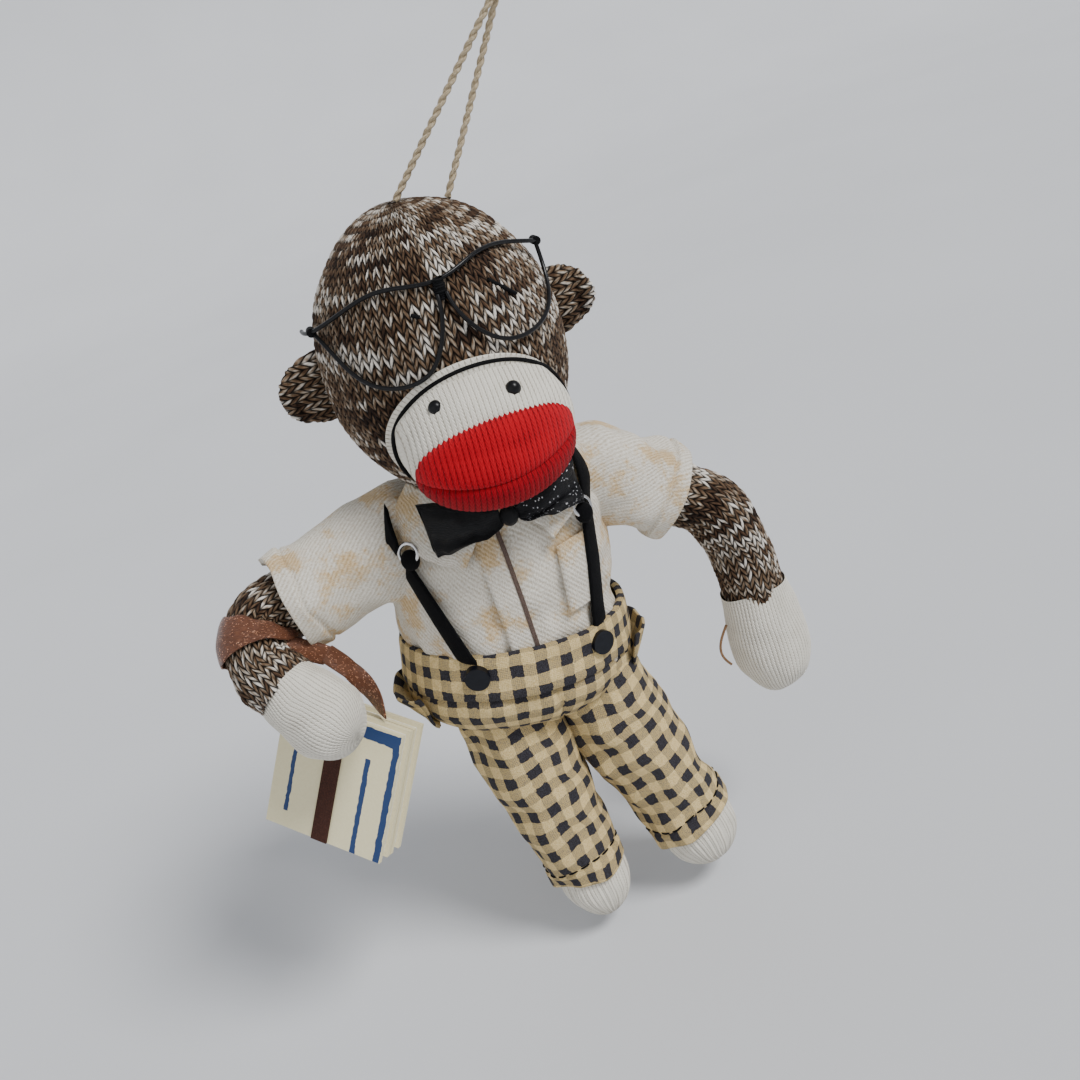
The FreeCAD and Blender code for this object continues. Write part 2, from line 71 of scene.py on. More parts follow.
JOINTS = {j["name"]: j for j in frame["record"]["behaviour"]["joints"]}
HEAD = np.array([0.5, 0.0, 145.0])
ORIGIN = np.array(JOINTS["neck_turn"]["pos_m"]) - HEAD / 1000
HEAD_HALF = np.array([26.9, 26.9, 32.9])
MUZZLE = np.array([0.8, -21.5, 132.0])
MUZZLE_HALF = np.array([18.8, 14.8, 14.7])
MUZZLE_TILT = math.radians(6)
WAIST_TILT = math.radians(11)
STITCH_WIDTH, STITCH_ROW = 2.4, 1.95
RIB_WIDTH, FOOT_RIB = 1.05, 1.7
LEG_RISE = 1.1
CHECK = 2.85
BOOK_CORNER = (-40.6, -24.0, 73.2)
BOOK_ACROSS = Vector((-0.701, 0.615, 0.360)).normalized()
BOOK_DOWN = Vector((-0.528, -0.110, -0.842)).normalized()
BOOK_BACK = BOOK_DOWN.cross(BOOK_ACROSS).normalized()


def place(points):
    """Figure-frame millimetres to row-frame metres."""
    return np.asarray(points, float) / 1000 + ORIGIN


def spot(x, y, z):
    return Vector(place((x, y, z)))


def box_middle(node):
    """The middle of a CAD node's box, in the figure frame."""
    low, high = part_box(node)
    return ((np.array(low) + np.array(high)) / 2 - ORIGIN) * 1000


def joint_at(name):
    """A joint's pivot in figure-frame millimetres."""
    return (np.array(JOINTS[name]["pos_m"]) - ORIGIN) * 1000


# ---------------------------------------------------------------- shading helpers
class Graph:
    """A material's node tree, with short calls for the nodes used here."""

    def __init__(self, name, roughness=0.8, sheen=0.0, metallic=0.0, specular=0.12):
        self.material = bpy.data.materials.new(name)
        self.material.use_nodes = True
        self.tree = self.material.node_tree
        self.shader = self.tree.nodes["Principled BSDF"]
        self.shader.inputs["Roughness"].default_value = roughness
        self.shader.inputs["Metallic"].default_value = metallic
        self.shader.inputs["Specular IOR Level"].default_value = specular
        self.shader.inputs["Sheen Weight"].default_value = sheen
        self.shader.inputs["Sheen Roughness"].default_value = 0.5

    def feed(self, socket, value):
        if isinstance(value, bpy.types.NodeSocket):
            self.tree.links.new(value, socket)
        elif isinstance(value, tuple) and len(socket.default_value) == 4:
            socket.default_value = (*value[:3], 1.0)
        else:
            socket.default_value = value

    def node(self, kind, **inputs):
        made = self.tree.nodes.new(f"ShaderNode{kind}")
        for name, value in inputs.items():
            self.feed(made.inputs[name.replace("_", " ")], value)
        return made

    def math(self, operation, first, second=None, third=None):
        made = self.tree.nodes.new("ShaderNodeMath")
        made.operation = operation
        for socket, value in zip(made.inputs, (first, second, third)):
            if value is not None:
                self.feed(socket, value)
        return made.outputs[0]

    def uv(self):
        split = self.node("SeparateXYZ", Vector=self.node("UVMap").outputs[0])
        return split.outputs[0], split.outputs[1]

    def position(self):
        return self.node("TexCoord").outputs["Object"]

    def join(self, x, y, z=0.0):
        return self.node("CombineXYZ", X=x, Y=y, Z=z).outputs[0]

    def noise(self, vector, scale, detail=2.0, roughness=0.5):
        made = self.node("TexNoise", Vector=vector, Scale=scale, Detail=detail, Roughness=roughness)
        return made.outputs["Fac"]

    def random(self, vector):
        return self.node("TexWhiteNoise", Vector=vector).outputs["Value"]

    def mix(self, factor, first, second, blend="MIX"):
        made = self.tree.nodes.new("ShaderNodeMix")
        made.data_type = "RGBA"
        made.blend_type = blend
        self.feed(made.inputs["Factor"], factor)
        self.feed(made.inputs["A"], first)
        self.feed(made.inputs["B"], second)
        return made.outputs["Result"]

    def ramp(self, factor, stops, smooth=True):
        made = self.node("ValToRGB", Fac=factor)
        ramp = made.color_ramp
        ramp.interpolation = "LINEAR" if smooth else "CONSTANT"
        while len(ramp.elements) < len(stops):
            ramp.elements.new(0.5)
        for element, (position, color) in zip(ramp.elements, stops):
            element.position = position
            element.color = (*color, 1.0)
        return made.outputs["Color"]

    def step(self, value, low, high):
        made = self.tree.nodes.new("ShaderNodeMapRange")
        made.interpolation_type = "SMOOTHSTEP"
        for name, number in (("Value", value), ("From Min", low), ("From Max", high)):
            self.feed(made.inputs[name], number)
        return made.outputs[0]

    def finish(self, color, height=None, depth=0.0003, strength=1.0):
        self.feed(self.shader.inputs["Base Color"], color)
        if height is not None:
            bump = self.node("Bump", Height=height, Strength=strength, Distance=depth)
            self.tree.links.new(bump.outputs[0], self.shader.inputs["Normal"])
        return self.material


def stocking_stitch(g, width, row):
    """Height and cell numbers of plain knitting: columns of V-shaped stitches."""
    u, v = g.uv()
    column = g.math("DIVIDE", u, width)
    across = g.math("FRACT", column)
    away = g.math("MULTIPLY", g.math("ABSOLUTE", g.math("SUBTRACT", across, 0.5)), 2.0)
    course = g.math("ADD", g.math("DIVIDE", v, row), g.math("MULTIPLY", away, -LEG_RISE))
    along = g.math("FRACT", course)
    leg = g.math("SINE", g.math("MULTIPLY", along, math.pi))
    side = g.math("POWER", g.math("SINE", g.math("MULTIPLY", away, math.pi)), 0.45)
    height = g.math("MULTIPLY", leg, side)
    cell = g.math("FLOOR", g.math("MULTIPLY", column, 2.0))
    return height, cell, g.math("FLOOR", course), column, course


def marl_knit():
    g = Graph("marl_knit", roughness=0.9, sheen=0.03)
    height, cell, line, column, course = stocking_stitch(g, STITCH_WIDTH, STITCH_ROW)
    run = g.noise(g.join(g.math("MULTIPLY", column, 0.09), g.math("MULTIPLY", line, 5.3)), 1.0, 2.0, 0.6)
    single = g.random(g.join(cell, line))
    ply = g.noise(g.join(g.math("MULTIPLY", column, 3.4), g.math("MULTIPLY", course, 1.1), 9.0), 1.0, 1.0)
    total = g.math("ADD", g.math("MULTIPLY", run, 1.0), g.math("MULTIPLY", single, 0.17))
    total = g.math("ADD", total, g.math("MULTIPLY", ply, 0.42))
    color = g.ramp(g.math("SUBTRACT", total, 0.29), (
        (0.28, (0.022, 0.012, 0.008)), (0.40, (0.070, 0.038, 0.022)), (0.495, (0.16, 0.10, 0.058)),
        (0.565, (0.34, 0.27, 0.20)), (0.65, (0.82, 0.76, 0.68)),
    ))
    # painted shade: the colour is darkened in the hollows between the stitch legs, where shade falls
    painted_gap_shade = g.math("ADD", 0.05, g.math("MULTIPLY", g.step(height, 0.12, 0.85), 0.95))
    color = g.mix(1.0, color, g.node("CombineColor", Red=painted_gap_shade, Green=painted_gap_shade, Blue=painted_gap_shade).outputs[0], "MULTIPLY")
    fuzz = g.noise(g.position(), 9000.0, 2.0)
    return g.finish(color, g.math("ADD", height, g.math("MULTIPLY", fuzz, 0.35)), 0.0003)


def rib_knit(name, light, dark, width=RIB_WIDTH, row=0.9):
    """Fine cream or red knitting whose columns show as thin ribs, with painted shade in the grooves between ribs and
    stitches.
    """
    g = Graph(name, roughness=0.9, sheen=0.05)
    height, cell, line, column, course = stocking_stitch(g, width, row)
    rib = g.math("POWER", g.math("SINE", g.math("MULTIPLY", g.math("FRACT", column), math.pi)), 0.6)
    relief = g.math("ADD", g.math("MULTIPLY", rib, 0.6), g.math("MULTIPLY", height, 0.45))
    uneven = g.noise(g.position(), 260.0, 3.0)
    fuzz = g.noise(g.position(), 7000.0, 2.0)
    # the dark colour is painted shade where the relief is low, in the grooves, mixed with random uneven tone
    factor = g.math("ADD", g.math("MULTIPLY", relief, 0.75), g.math("MULTIPLY", uneven, 0.45))
    color = g.mix(g.step(factor, 0.22, 0.82), dark, light)
    return g.finish(color, g.math("ADD", relief, g.math("MULTIPLY", fuzz, 0.5)), 0.00025)


def flannel():
    g = Graph("flannel", roughness=0.95, sheen=0.04)
    u, v = g.uv()
    twill = g.math("SINE", g.math("MULTIPLY", g.math("ADD", g.math("MULTIPLY", u, 1.3), v), 4.4))
    thread = g.noise(g.join(g.math("MULTIPLY", u, 2.5), g.math("MULTIPLY", v, 0.9)), 1.6, 4.0, 0.7)
    blot = g.noise(g.position(), 105.0, 2.0, 0.6)
    edge = g.noise(g.position(), 900.0, 4.0, 0.7)
    patch = g.step(g.math("ADD", blot, g.math("MULTIPLY", edge, 0.5)), 0.74, 0.92)
    ridges = g.math("ADD", g.math("MULTIPLY", twill, 0.07), thread)
    base = g.mix(g.step(ridges, 0.30, 0.66), (0.56, 0.49, 0.38), (0.88, 0.84, 0.75))
    gold = g.mix(g.step(ridges, 0.3, 0.7), (0.50, 0.29, 0.09), (0.76, 0.55, 0.27))
    color = g.mix(g.math("MULTIPLY", patch, 0.75), base, gold)
    relief = g.math("ADD", g.math("MULTIPLY", twill, 0.16), g.math("MULTIPLY", thread, 1.2))
    return g.finish(color, relief, 0.00025)


def gingham():
    g = Graph("gingham", roughness=0.9, sheen=0.03)
    u, v = g.uv()

    def stripe(value):
        return g.math("LESS_THAN", g.math("FRACT", g.math("DIVIDE", value, 2 * CHECK)), 0.5)

    def thread(value, shift):
        wave = g.math("SINE", g.math("MULTIPLY", g.math("ADD", value, shift), 2 * math.pi / 0.42))
        return g.math("ADD", g.math("MULTIPLY", wave, 0.5), 0.5)

    wobble = g.math("MULTIPLY", g.noise(g.position(), 700.0, 3.0), 1.1)
    warp, weft = stripe(g.math("ADD", u, wobble)), stripe(g.math("ADD", v, wobble))
    over = g.math("GREATER_THAN", g.math("ADD", thread(u, 0.0), thread(v, 0.1)), 1.0)
    dark = g.math("ADD", g.math("MULTIPLY", warp, over), g.math("MULTIPLY", weft, g.math("SUBTRACT", 1.0, over)))
    both = g.math("MULTIPLY", warp, weft)
    fibre = g.noise(g.position(), 3500.0, 3.0)
    speckle = g.step(g.math("ADD", fibre, g.math("MULTIPLY", dark, 0.10)), 0.54, 0.62)
    either = g.math("MAXIMUM", warp, weft)
    half = g.math("MULTIPLY", either, g.math("ADD", g.math("MULTIPLY", speckle, 0.40), 0.24))
    soft = g.math("MAXIMUM", g.math("MULTIPLY", both, 0.97), half)
    yellow = g.mix(g.step(fibre, 0.3, 0.7), (0.60, 0.43, 0.18), (0.80, 0.63, 0.33))
    navy = g.mix(g.step(fibre, 0.3, 0.7), (0.006, 0.008, 0.018), (0.022, 0.026, 0.045))
    relief = g.math("ADD", g.math("MULTIPLY", thread(u, 0.0), 0.4), g.math("MULTIPLY", thread(v, 0.1), 0.4))
    return g.finish(g.mix(soft, yellow, navy), g.math("ADD", relief, fibre), 0.00012)


def plain_cloth(name, light, dark, roughness, sheen, scale=4000.0, depth=0.0001):
    g = Graph(name, roughness=roughness, sheen=sheen)
    grain = g.noise(g.position(), scale, 3.0)
    return g.finish(g.mix(g.step(grain, 0.3, 0.7), dark, light), grain, depth)


def satin(name, light, dark, glints=0.0, gleam=(0.6, 0.6, 0.62), roughness=0.4, specular=0.2):
    """Smooth ribbon cloth with fine threads along its length and, if asked, small metallic glints."""
    g = Graph(name, roughness=roughness, sheen=0.01, specular=specular)
    u, v = g.uv()
    thread = g.noise(g.join(g.math("MULTIPLY", u, 6.0), g.math("MULTIPLY", v, 0.4)), 2.0, 2.0)
    glint = g.math("GREATER_THAN", g.random(g.join(g.math("FLOOR", g.math("MULTIPLY", u, 9.0)),
                                                     g.math("FLOOR", g.math("MULTIPLY", v, 4.0)))), 1.0 - glints)
    g.feed(g.shader.inputs["Metallic"], g.math("MULTIPLY", glint, 0.9))
    color = g.mix(g.step(thread, 0.3, 0.7), dark, light)
    return g.finish(g.mix(glint, color, gleam), thread, 0.0002)


def glossy(name, color, roughness, metallic=0.0):
    g = Graph(name, roughness=roughness, metallic=metallic, specular=0.25)
    grain = g.noise(g.position(), 800.0, 2.0)
    dim = tuple(c * 0.7 for c in color)
    return g.finish(g.mix(g.step(grain, 0.3, 0.7), dim, color), grain, 0.00004)


def twine_fibre():
    g = Graph("twine_fibre", roughness=0.95, sheen=0.05)
    u, v = g.uv()
    strand = g.noise(g.join(g.math("MULTIPLY", u, 5.0), g.math("MULTIPLY", v, 0.7)), 2.0, 3.0)
    color = g.ramp(strand, ((0.3, (0.22, 0.15, 0.08)), (0.5, (0.50, 0.40, 0.26)), (0.7, (0.74, 0.65, 0.48))))
    return g.finish(color, strand, 0.0003)


def book_cover_card(corner):
    """Cream card with dark blue stripes down the cover and a blue patch at the top fore corner."""
    g = Graph("book_card", roughness=0.55, specular=0.4)

    def along(direction):
        shifted = g.tree.nodes.new("ShaderNodeVectorMath")
        shifted.operation = "SUBTRACT"
        g.feed(shifted.inputs[0], g.position())
        shifted.inputs[1].default_value = corner
        dot = g.tree.nodes.new("ShaderNodeVectorMath")
        dot.operation = "DOT_PRODUCT"
        g.feed(dot.inputs[0], shifted.outputs[0])
        dot.inputs[1].default_value = direction
        return g.math("MULTIPLY", dot.outputs["Value"], 1000.0)

    across, down, back = along(BOOK_ACROSS), along(BOOK_DOWN), along(BOOK_BACK)
    rough = g.math("MULTIPLY", g.math("SUBTRACT", g.noise(g.position(), 500.0, 3.0), 0.5), 0.9)
    wavy = g.math("ADD", across, rough)
    ragged = g.math("ADD", down, rough)
    on_front = g.math("LESS_THAN", g.math("ABSOLUTE", back), 0.3)
    grain = g.noise(g.position(), 1500.0, 2.0)
    color = g.mix(grain, (0.78, 0.70, 0.43), (0.86, 0.79, 0.53))
    stripes = ((26.2, 0.55, 0.0, 27.4), (7.4, 0.65, 8.0, 32.0), (1.0, 0.8, 0.4, 32.0), (6.8, 6.0, 0.5, 3.5))
    for middle, half, top, bottom in stripes:
        inside = g.math("LESS_THAN", g.math("ABSOLUTE", g.math("SUBTRACT", wavy, middle)), half)
        inside = g.math("MULTIPLY", inside, g.math("GREATER_THAN", ragged, top))
        inside = g.math("MULTIPLY", inside, g.math("LESS_THAN", ragged, bottom))
        color = g.mix(g.math("MULTIPLY", inside, on_front), color, (0.014, 0.045, 0.15))
    return g.finish(color, grain, 0.00005)


def paper_block():
    g = Graph("paper_block", roughness=0.85)
    split = g.noise(g.position(), 2600.0, 1.0)
    return g.finish(g.mix(g.step(split, 0.3, 0.7), (0.74, 0.72, 0.67), (0.90, 0.89, 0.86)), split, 0.0001)


# ---------------------------------------------------------------- mesh helpers
def grid(name, points, uv, material, wrap=False, flip=False):
    """A mesh of rows of points, with the given texture places; wrap joins each row's end to its start."""
    rows, columns = points.shape[:2]
    mesh = bpy.data.meshes.new(name)
    spans = columns if wrap else columns - 1
    r, c = np.meshgrid(np.arange(rows - 1), np.arange(spans), indexing="ij")
    r, c = r.ravel(), c.ravel()
    corners = [(r, c), (r, c + 1), (r + 1, c + 1), (r + 1, c)]
    if flip:
        corners.reverse()
    faces = np.stack([a * columns + b % columns for a, b in corners], 1)
    mesh.from_pydata(place(points.reshape(-1, 3)).tolist(), [], faces.tolist())
    layer = mesh.uv_layers.new(name="UVMap")
    places = np.stack([uv[a, b] for a, b in corners], 1).reshape(-1, 2)
    layer.data.foreach_set("uv", places.astype(np.float32).ravel())
    mesh.polygons.foreach_set("use_smooth", np.ones(len(mesh.polygons), bool))
    mesh.materials.append(material)
    made = bpy.data.objects.new(name, mesh)
    bpy.context.scene.collection.objects.link(made)
    return made


def lumps(points, amount, scale, seed=0.0):
    """Uneven displacement in millimetres for a set of points, smooth over about 1/scale millimetres."""
    flat = points.reshape(-1, 3) * scale + seed
    values = np.array([noise.noise(Vector(p)) for p in flat])
    return values.reshape(points.shape[:-1]) * amount


def raise_stitches(points, uv, width, row, height):
    """Lifts a wrapped grid's points along its normals into the loops of stocking stitch."""
    u, v = uv[:, :-1, 0], uv[:, :-1, 1]
    away = np.abs((u / width) % 1 - 0.5) * 2
    along = (v / row - LEG_RISE * away) % 1
    relief = np.sin(along * math.pi) ** 0.7 * np.sin(away * math.pi) ** 0.6
    ends = np.minimum(np.arange(len(points)), np.arange(len(points))[::-1])
    fade = np.clip(ends / 14, 0, 1)[:, None]
    return points + grid_normals(points) * (height * fade * (relief - 0.5))[..., None]


def raise_ribs(points, uv, width, height):
    """Lifts a wrapped grid's points along its normals into thin ribs."""
    relief = np.sin((uv[:, :-1, 0] / width % 1) * math.pi) ** 0.7
    return points + grid_normals(points) * (height * (relief - 0.6))[..., None]


def grid_normals(points):
    """Unit normals of a wrapped grid, pointing away from its rows' centres."""
    along = np.gradient(points, axis=0)
    around = np.roll(points, -1, axis=1) - np.roll(points, 1, axis=1)
    normal = np.cross(around, along)
    normal /= np.linalg.norm(normal, axis=2)[..., None] + 1e-9
    outward = points - points.mean(axis=1, keepdims=True)
    return normal * np.where((normal * outward).sum(axis=2) < 0, -1.0, 1.0)[..., None]


def lengths(points):
    """Distance walked down each column of a grid, averaged over the columns."""
    steps = np.linalg.norm(np.diff(points, axis=0), axis=2).mean(axis=1)
    return np.concatenate([[0.0], np.cumsum(steps)])


def ring_uv(points, around):
    """Texture places for a wrapped grid: around is the texture length of one turn, in millimetres."""
    rows, columns = points.shape[:2]
    u = np.tile(np.linspace(0, around, columns + 1), (rows, 1))
    v = np.tile(lengths(points)[:, None], (1, columns + 1))
    return np.stack([u, v], 2)


def smooth_path(points, count):
    """A smooth path through a few points, as evenly spaced points."""
    points = np.asarray(points, float)
    chord = np.concatenate([[0], np.cumsum(np.linalg.norm(np.diff(points, axis=0), axis=1))])
    fine = np.linspace(0, chord[-1], count)
    tangents = np.gradient(points, chord, axis=0)
    out = []
    for value in fine:
        k = min(max(np.searchsorted(chord, value) - 1, 0), len(points) - 2)
        span = chord[k + 1] - chord[k]
        t = (value - chord[k]) / span
        a, b = 2 * t**3 - 3 * t**2 + 1, t**3 - 2 * t**2 + t
        c, d = -2 * t**3 + 3 * t**2, t**3 - t**2
        out.append(a * points[k] + b * span * tangents[k] + c * points[k + 1] + d * span * tangents[k + 1])
    return np.array(out)


def frames_along(path, side_hint):
    """Unit side and front directions along a path, carried smoothly from a first hint."""
    tangent = np.gradient(path, axis=0)
    tangent /= np.linalg.norm(tangent, axis=1)[:, None]
    side = np.array(side_hint, float)
    sides, fronts = [], []
    for direction in tangent:
        side = side - direction * side.dot(direction)
        side /= np.linalg.norm(side)
        sides.append(side.copy())
        fronts.append(np.cross(direction, side))
    return np.array(sides), np.array(fronts)


def tube(path, radii, columns, side_hint=(0, -1, 0), depth=1.0):
    """Points of a tube round a path: radii is one per path point, depth scales the second direction."""
    side, front = frames_along(path, side_hint)
    angle = np.linspace(0, 2 * math.pi, columns, endpoint=False)
    ring_a, ring_b = np.cos(angle), np.sin(angle)
    radii = np.asarray(radii, float)
    return (path[:, None] + radii[:, None, None] * (ring_a[None, :, None] * side[:, None]
            + depth * ring_b[None, :, None] * front[:, None]))


def rounded(count, start, end, tip=0.0, base=0.0):
    """Radii from start to end, closing round over the last (tip) and first (base) share of the count."""
    t = np.linspace(0, 1, count)
    radii = start + (end - start) * t
    if tip:
        near = np.clip((t - (1 - tip)) / tip, 0, 1)
        radii = radii * np.sqrt(np.clip(1 - near**2.2, 0, 1))
    if base:
        near = np.clip((base - t) / base, 0, 1)
        radii = radii * np.sqrt(np.clip(1 - near**2, 0, 1))
    return radii


def along_path(values, count):
    """A few values spread evenly along a path, filled in smoothly."""
    return np.interp(np.linspace(0, 1, count), np.linspace(0, 1, len(values)), values)


def sphere_grid(centre, halves, rows, columns, tilt=0.0):
    """Points of an ellipsoid from its top pole to its bottom pole."""
    polar, turn = np.meshgrid(np.linspace(0.02, math.pi - 0.02, rows),
                              np.linspace(0, 2 * math.pi, columns, endpoint=False), indexing="ij")
    x = np.sin(polar) * np.sin(turn) * halves[0]
    y = -np.sin(polar) * np.cos(turn) * halves[1]
    z = np.cos(polar) * halves[2]
    turned_x = x * math.cos(tilt) + z * math.sin(tilt)
    turned_z = -x * math.sin(tilt) + z * math.cos(tilt)
    return np.stack([turned_x, y, turned_z], 2) + centre


def thicken(made, thickness, offset=1.0):
    solid = made.modifiers.new("thickness", "SOLIDIFY")
    solid.thickness = thickness / 1000
    solid.offset = offset
    return made


# ---------------------------------------------------------------- head and face
def build_head(knit):
    points = sphere_grid(HEAD, HEAD_HALF, 300, 540)
    outward = (points - HEAD) / HEAD_HALF
    points += outward * lumps(points, 0.5, 0.09)[..., None]
    around = round(2 * math.pi * HEAD_HALF[0] / STITCH_WIDTH) * STITCH_WIDTH
    uv = ring_uv(points, around)
    points = raise_stitches(points, uv, STITCH_WIDTH, STITCH_ROW, 0.55)
    head = grid("head_knit", points, uv, knit, wrap=True)
    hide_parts("head_skin", "head_stuffing")
    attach(head, "head")


def build_ears(knit):
    for side, sign, z in (("right", -1, 147.0), ("left", 1, 146.0)):
        centre = np.array([HEAD[0] + sign * 25.4, 2.0, z])
        points = sphere_grid(centre, (11.6, 3.9, 8.0), 90, 220)
        reach = np.abs(points[..., 0] - centre[0]) / 11.6
        fold = np.exp(-((reach - 0.62) / 0.12) ** 2) * (points[..., 1] < centre[1])
        points[..., 1] += 0.9 * fold - 1.5 * reach**2
        points += lumps(points, 0.4, 0.2, 3.0)[..., None]
        uv = np.stack([points[..., 2], points[..., 0] * sign], 2)
        uv = np.concatenate([uv, uv[:, :1]], 1)
        points = raise_stitches(points, uv, STITCH_WIDTH, STITCH_ROW, 0.5)
        ear = grid(f"{side}_ear_knit", points, uv, knit, wrap=True)
        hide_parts(f"{side}_ear")
        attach(ear, "head")


def swell(local):
    """Pushes the muzzle's lower front forward and down, in its own axes."""
    ahead = np.clip(-local[..., 1] / MUZZLE_HALF[1], 0, 1)
    low = np.clip(-local[..., 2] / MUZZLE_HALF[2], 0, 1)
    low = low * (2 - low)
    return local + np.stack([0 * low, -3.0 * ahead * low, -1.9 * low * (0.4 + 0.6 * ahead)], -1)


def from_muzzle(local):
    """Carries points from the muzzle's own tilted axes to the figure frame."""
    x = local[..., 0] * math.cos(MUZZLE_TILT) + local[..., 2] * math.sin(MUZZLE_TILT)
    z = -local[..., 0] * math.sin(MUZZLE_TILT) + local[..., 2] * math.cos(MUZZLE_TILT)
    return np.stack([x, local[..., 1], z], -1) + MUZZLE


def muzzle_point(x, z, lift=0.0):
    """The front of the muzzle at a place across and up its own tilted axes, lifted off the surface."""
    u, w = np.asarray(x) / MUZZLE_HALF[0], np.asarray(z) / MUZZLE_HALF[2]
    y = -MUZZLE_HALF[1] * np.sqrt(np.clip(1 - u**2 - w**2, 0, 1))
    normal = np.stack([u / MUZZLE_HALF[0], y / MUZZLE_HALF[1] ** 2, w / MUZZLE_HALF[2]], -1)
    normal /= np.linalg.norm(normal, axis=-1)[..., None]
    return from_muzzle(swell(np.stack([x, y, z], -1)) + normal * np.asarray(lift)[..., None])


def build_muzzle(cream):
    local = sphere_grid(np.zeros(3), MUZZLE_HALF, 110, 560)
    rib = np.concatenate([local[..., 0], local[:, :1, 0]], 1)
    around = np.abs(np.arctan2(local[..., 0], -local[..., 1]))
    points = from_muzzle(swell(local + local / MUZZLE_HALF * lumps(local, 0.45, 0.13, 8.0)[..., None]))
    rows = np.tile(lengths(points)[:, None], (1, rib.shape[1]))
    uv = np.stack([rib, rows], 2)
    points = np.where((around < 1.3)[..., None], raise_ribs(points, uv, RIB_WIDTH, 0.22), points)
    muzzle = grid("muzzle_knit", points, uv, cream, wrap=True)
    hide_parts("muzzle_skin", "muzzle_stuffing")
    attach(muzzle, "head")
    build_muzzle_border(cream)


def build_muzzle_border(cream):
    """The strip of cream knit that shows on the head outside the black cord."""
    turn = np.radians(np.linspace(205, 42, 260))[None]
    reach = np.linspace(-2.0, 1.0, 12)[:, None] * (1.5 * np.sin(np.linspace(0, math.pi, 260)) ** 0.5)[None]
    x = (MUZZLE_HALF[0] + 0.4 + reach) * np.cos(turn)
    z = (MUZZLE_HALF[2] + 0.4 + reach) * np.sin(turn)
    spots = from_muzzle(np.stack([x, 0 * x, z], -1))
    u, w = (spots[..., 0] - HEAD[0]) / HEAD_HALF[0], (spots[..., 2] - HEAD[2]) / HEAD_HALF[2]
    spots[..., 1] = HEAD[1] - (HEAD_HALF[1] + 0.55) * np.sqrt(np.clip(1 - u**2 - w**2, 0.02, 1))
    uv = np.stack([turn * 17 + 0 * x, reach + 0 * x], 2)
    border = thicken(grid("muzzle_border_knit", spots, uv, cream), 0.5, 0.0)
    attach(border, "head")


def lip_edges(s):
    """Upper edge, mouth crease and lower edge of the lips at s from -1 to 1 across them."""
    bow = np.sqrt(np.clip(1 - np.abs(s) ** 2.3, 0, 1))
    tooth = 0.55 * (2 * np.abs((s * 17.2 / RIB_WIDTH) % 1 - 0.5) - 0.5) * (bow > 0.15)
    middle = -2.9 + 1.3 * s
    return middle + 8.9 * bow + tooth, middle - 2.7 * (1 - s**2), middle - 8.6 * bow


def build_lips(red, shaded_red):
    """Two padded halves that meet in the mouth's crease, each rolled in under its edges; the lower half wears a darker
    copy of the red knit as painted shade.
    """
    columns, rows = 420, 26
    s = np.linspace(-1, 1, columns)
    upper, crease, lower = lip_edges(s)
    t = np.linspace(0, 1, rows)[:, None]
    x = np.tile(s * 17.3, (rows, 1))
    made = []
    for name, top, bottom, material, rise in (("upper_lip", upper, crease - 0.35, red, 1.3),
                                              ("lower_lip", crease + 0.35, lower, shaded_red, 1.5)):
        z = top[None] + (bottom - top)[None] * t
        crown = np.sqrt(np.clip(1 - np.abs(2 * t - 1) ** 3.5, 0, 1)) * np.sqrt(np.clip(1 - np.abs(s[None]) ** 6, 0, 1))
        rib = 0.16 * np.sin((x / RIB_WIDTH % 1) * math.pi)
        points = muzzle_point(x, z, -0.45 + (rise + 0.45 + rib) * crown)
        made.append(grid(name, points, np.stack([x, z], 2), material))
        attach(made[-1], "head")
    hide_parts("lips")


# ---------------------------------------------------------------- trunk and clothes
STATIONS = np.array([
    # z, centre x, centre y, half width, half depth
    [60.0, -6.5, -1.0, 25.0, 18.5], [78.0, -6.6, -1.0, 25.8, 19.2], [92.0, -4.6, -1.0, 27.2, 20.0],
    [104.0, -2.4, -0.6, 26.6, 19.2], [112.0, -1.0, 0.0, 24.0, 17.0], [117.0, -0.4, 0.2, 20.0, 14.5],
    [120.5, 0.0, 0.4, 15.5, 12.0],
])


def trunk_shape(z):
    """Centre and half sizes of the clothed trunk at heights z."""
    return [np.interp(z, STATIONS[:, 0], STATIONS[:, k]) for k in range(1, 5)]


def trunk_front(x, z, lift=0.0, back=False):
    """The trunk's surface at x and z, in front or behind, lifted off it."""
    cx, cy, width, depth = trunk_shape(z)
    u = np.clip((x - cx) / width, -0.999, 0.999)
    sign = 1.0 if back else -1.0
    y = cy + sign * depth * (1 - np.abs(u) ** 2.3) ** (1 / 2.3)
    normal = np.stack([u / width, sign * np.sqrt(np.clip(1 - u**2, 0, 1)) / depth, 0 * u], -1)
    normal /= np.linalg.norm(normal, axis=-1)[..., None]
    return np.stack([x + 0 * z, y, z + 0 * x], -1) + normal * np.asarray(lift)[..., None]


def build_shirt(cloth):
    rows, columns = 90, 200
    z = np.linspace(62.0, 120.5, rows)
    cx, cy, width, depth = trunk_shape(z)
    angle = np.linspace(0, 2 * math.pi, columns, endpoint=False)
    power = 2 / 2.3
    ring_x = np.sign(np.sin(angle)) * np.abs(np.sin(angle)) ** power
    ring_y = -np.sign(np.cos(angle)) * np.abs(np.cos(angle)) ** power
    points = np.stack([cx[:, None] + width[:, None] * ring_x, cy[:, None] + depth[:, None] * ring_y,
                       np.tile(z[:, None], (1, columns))], 2)
    pull = np.exp(-((z - 80) / 9) ** 2)[:, None]
    crinkle = lumps(points, 1.0, 0.16, 5.0) + lumps(points * np.array([1, 1, 0.35]), 1.3, 0.28, 9.0) * pull
    outward = np.stack([ring_x, ring_y, 0 * ring_x], 1)[None]
    points += outward * crinkle[..., None]
    shirt = grid("shirt_cloth", points, ring_uv(points, 150.0), cloth, wrap=True)
    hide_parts("shirt_body", "torso_stuffing", "neck_stuffing")
    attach(shirt, "trunk")


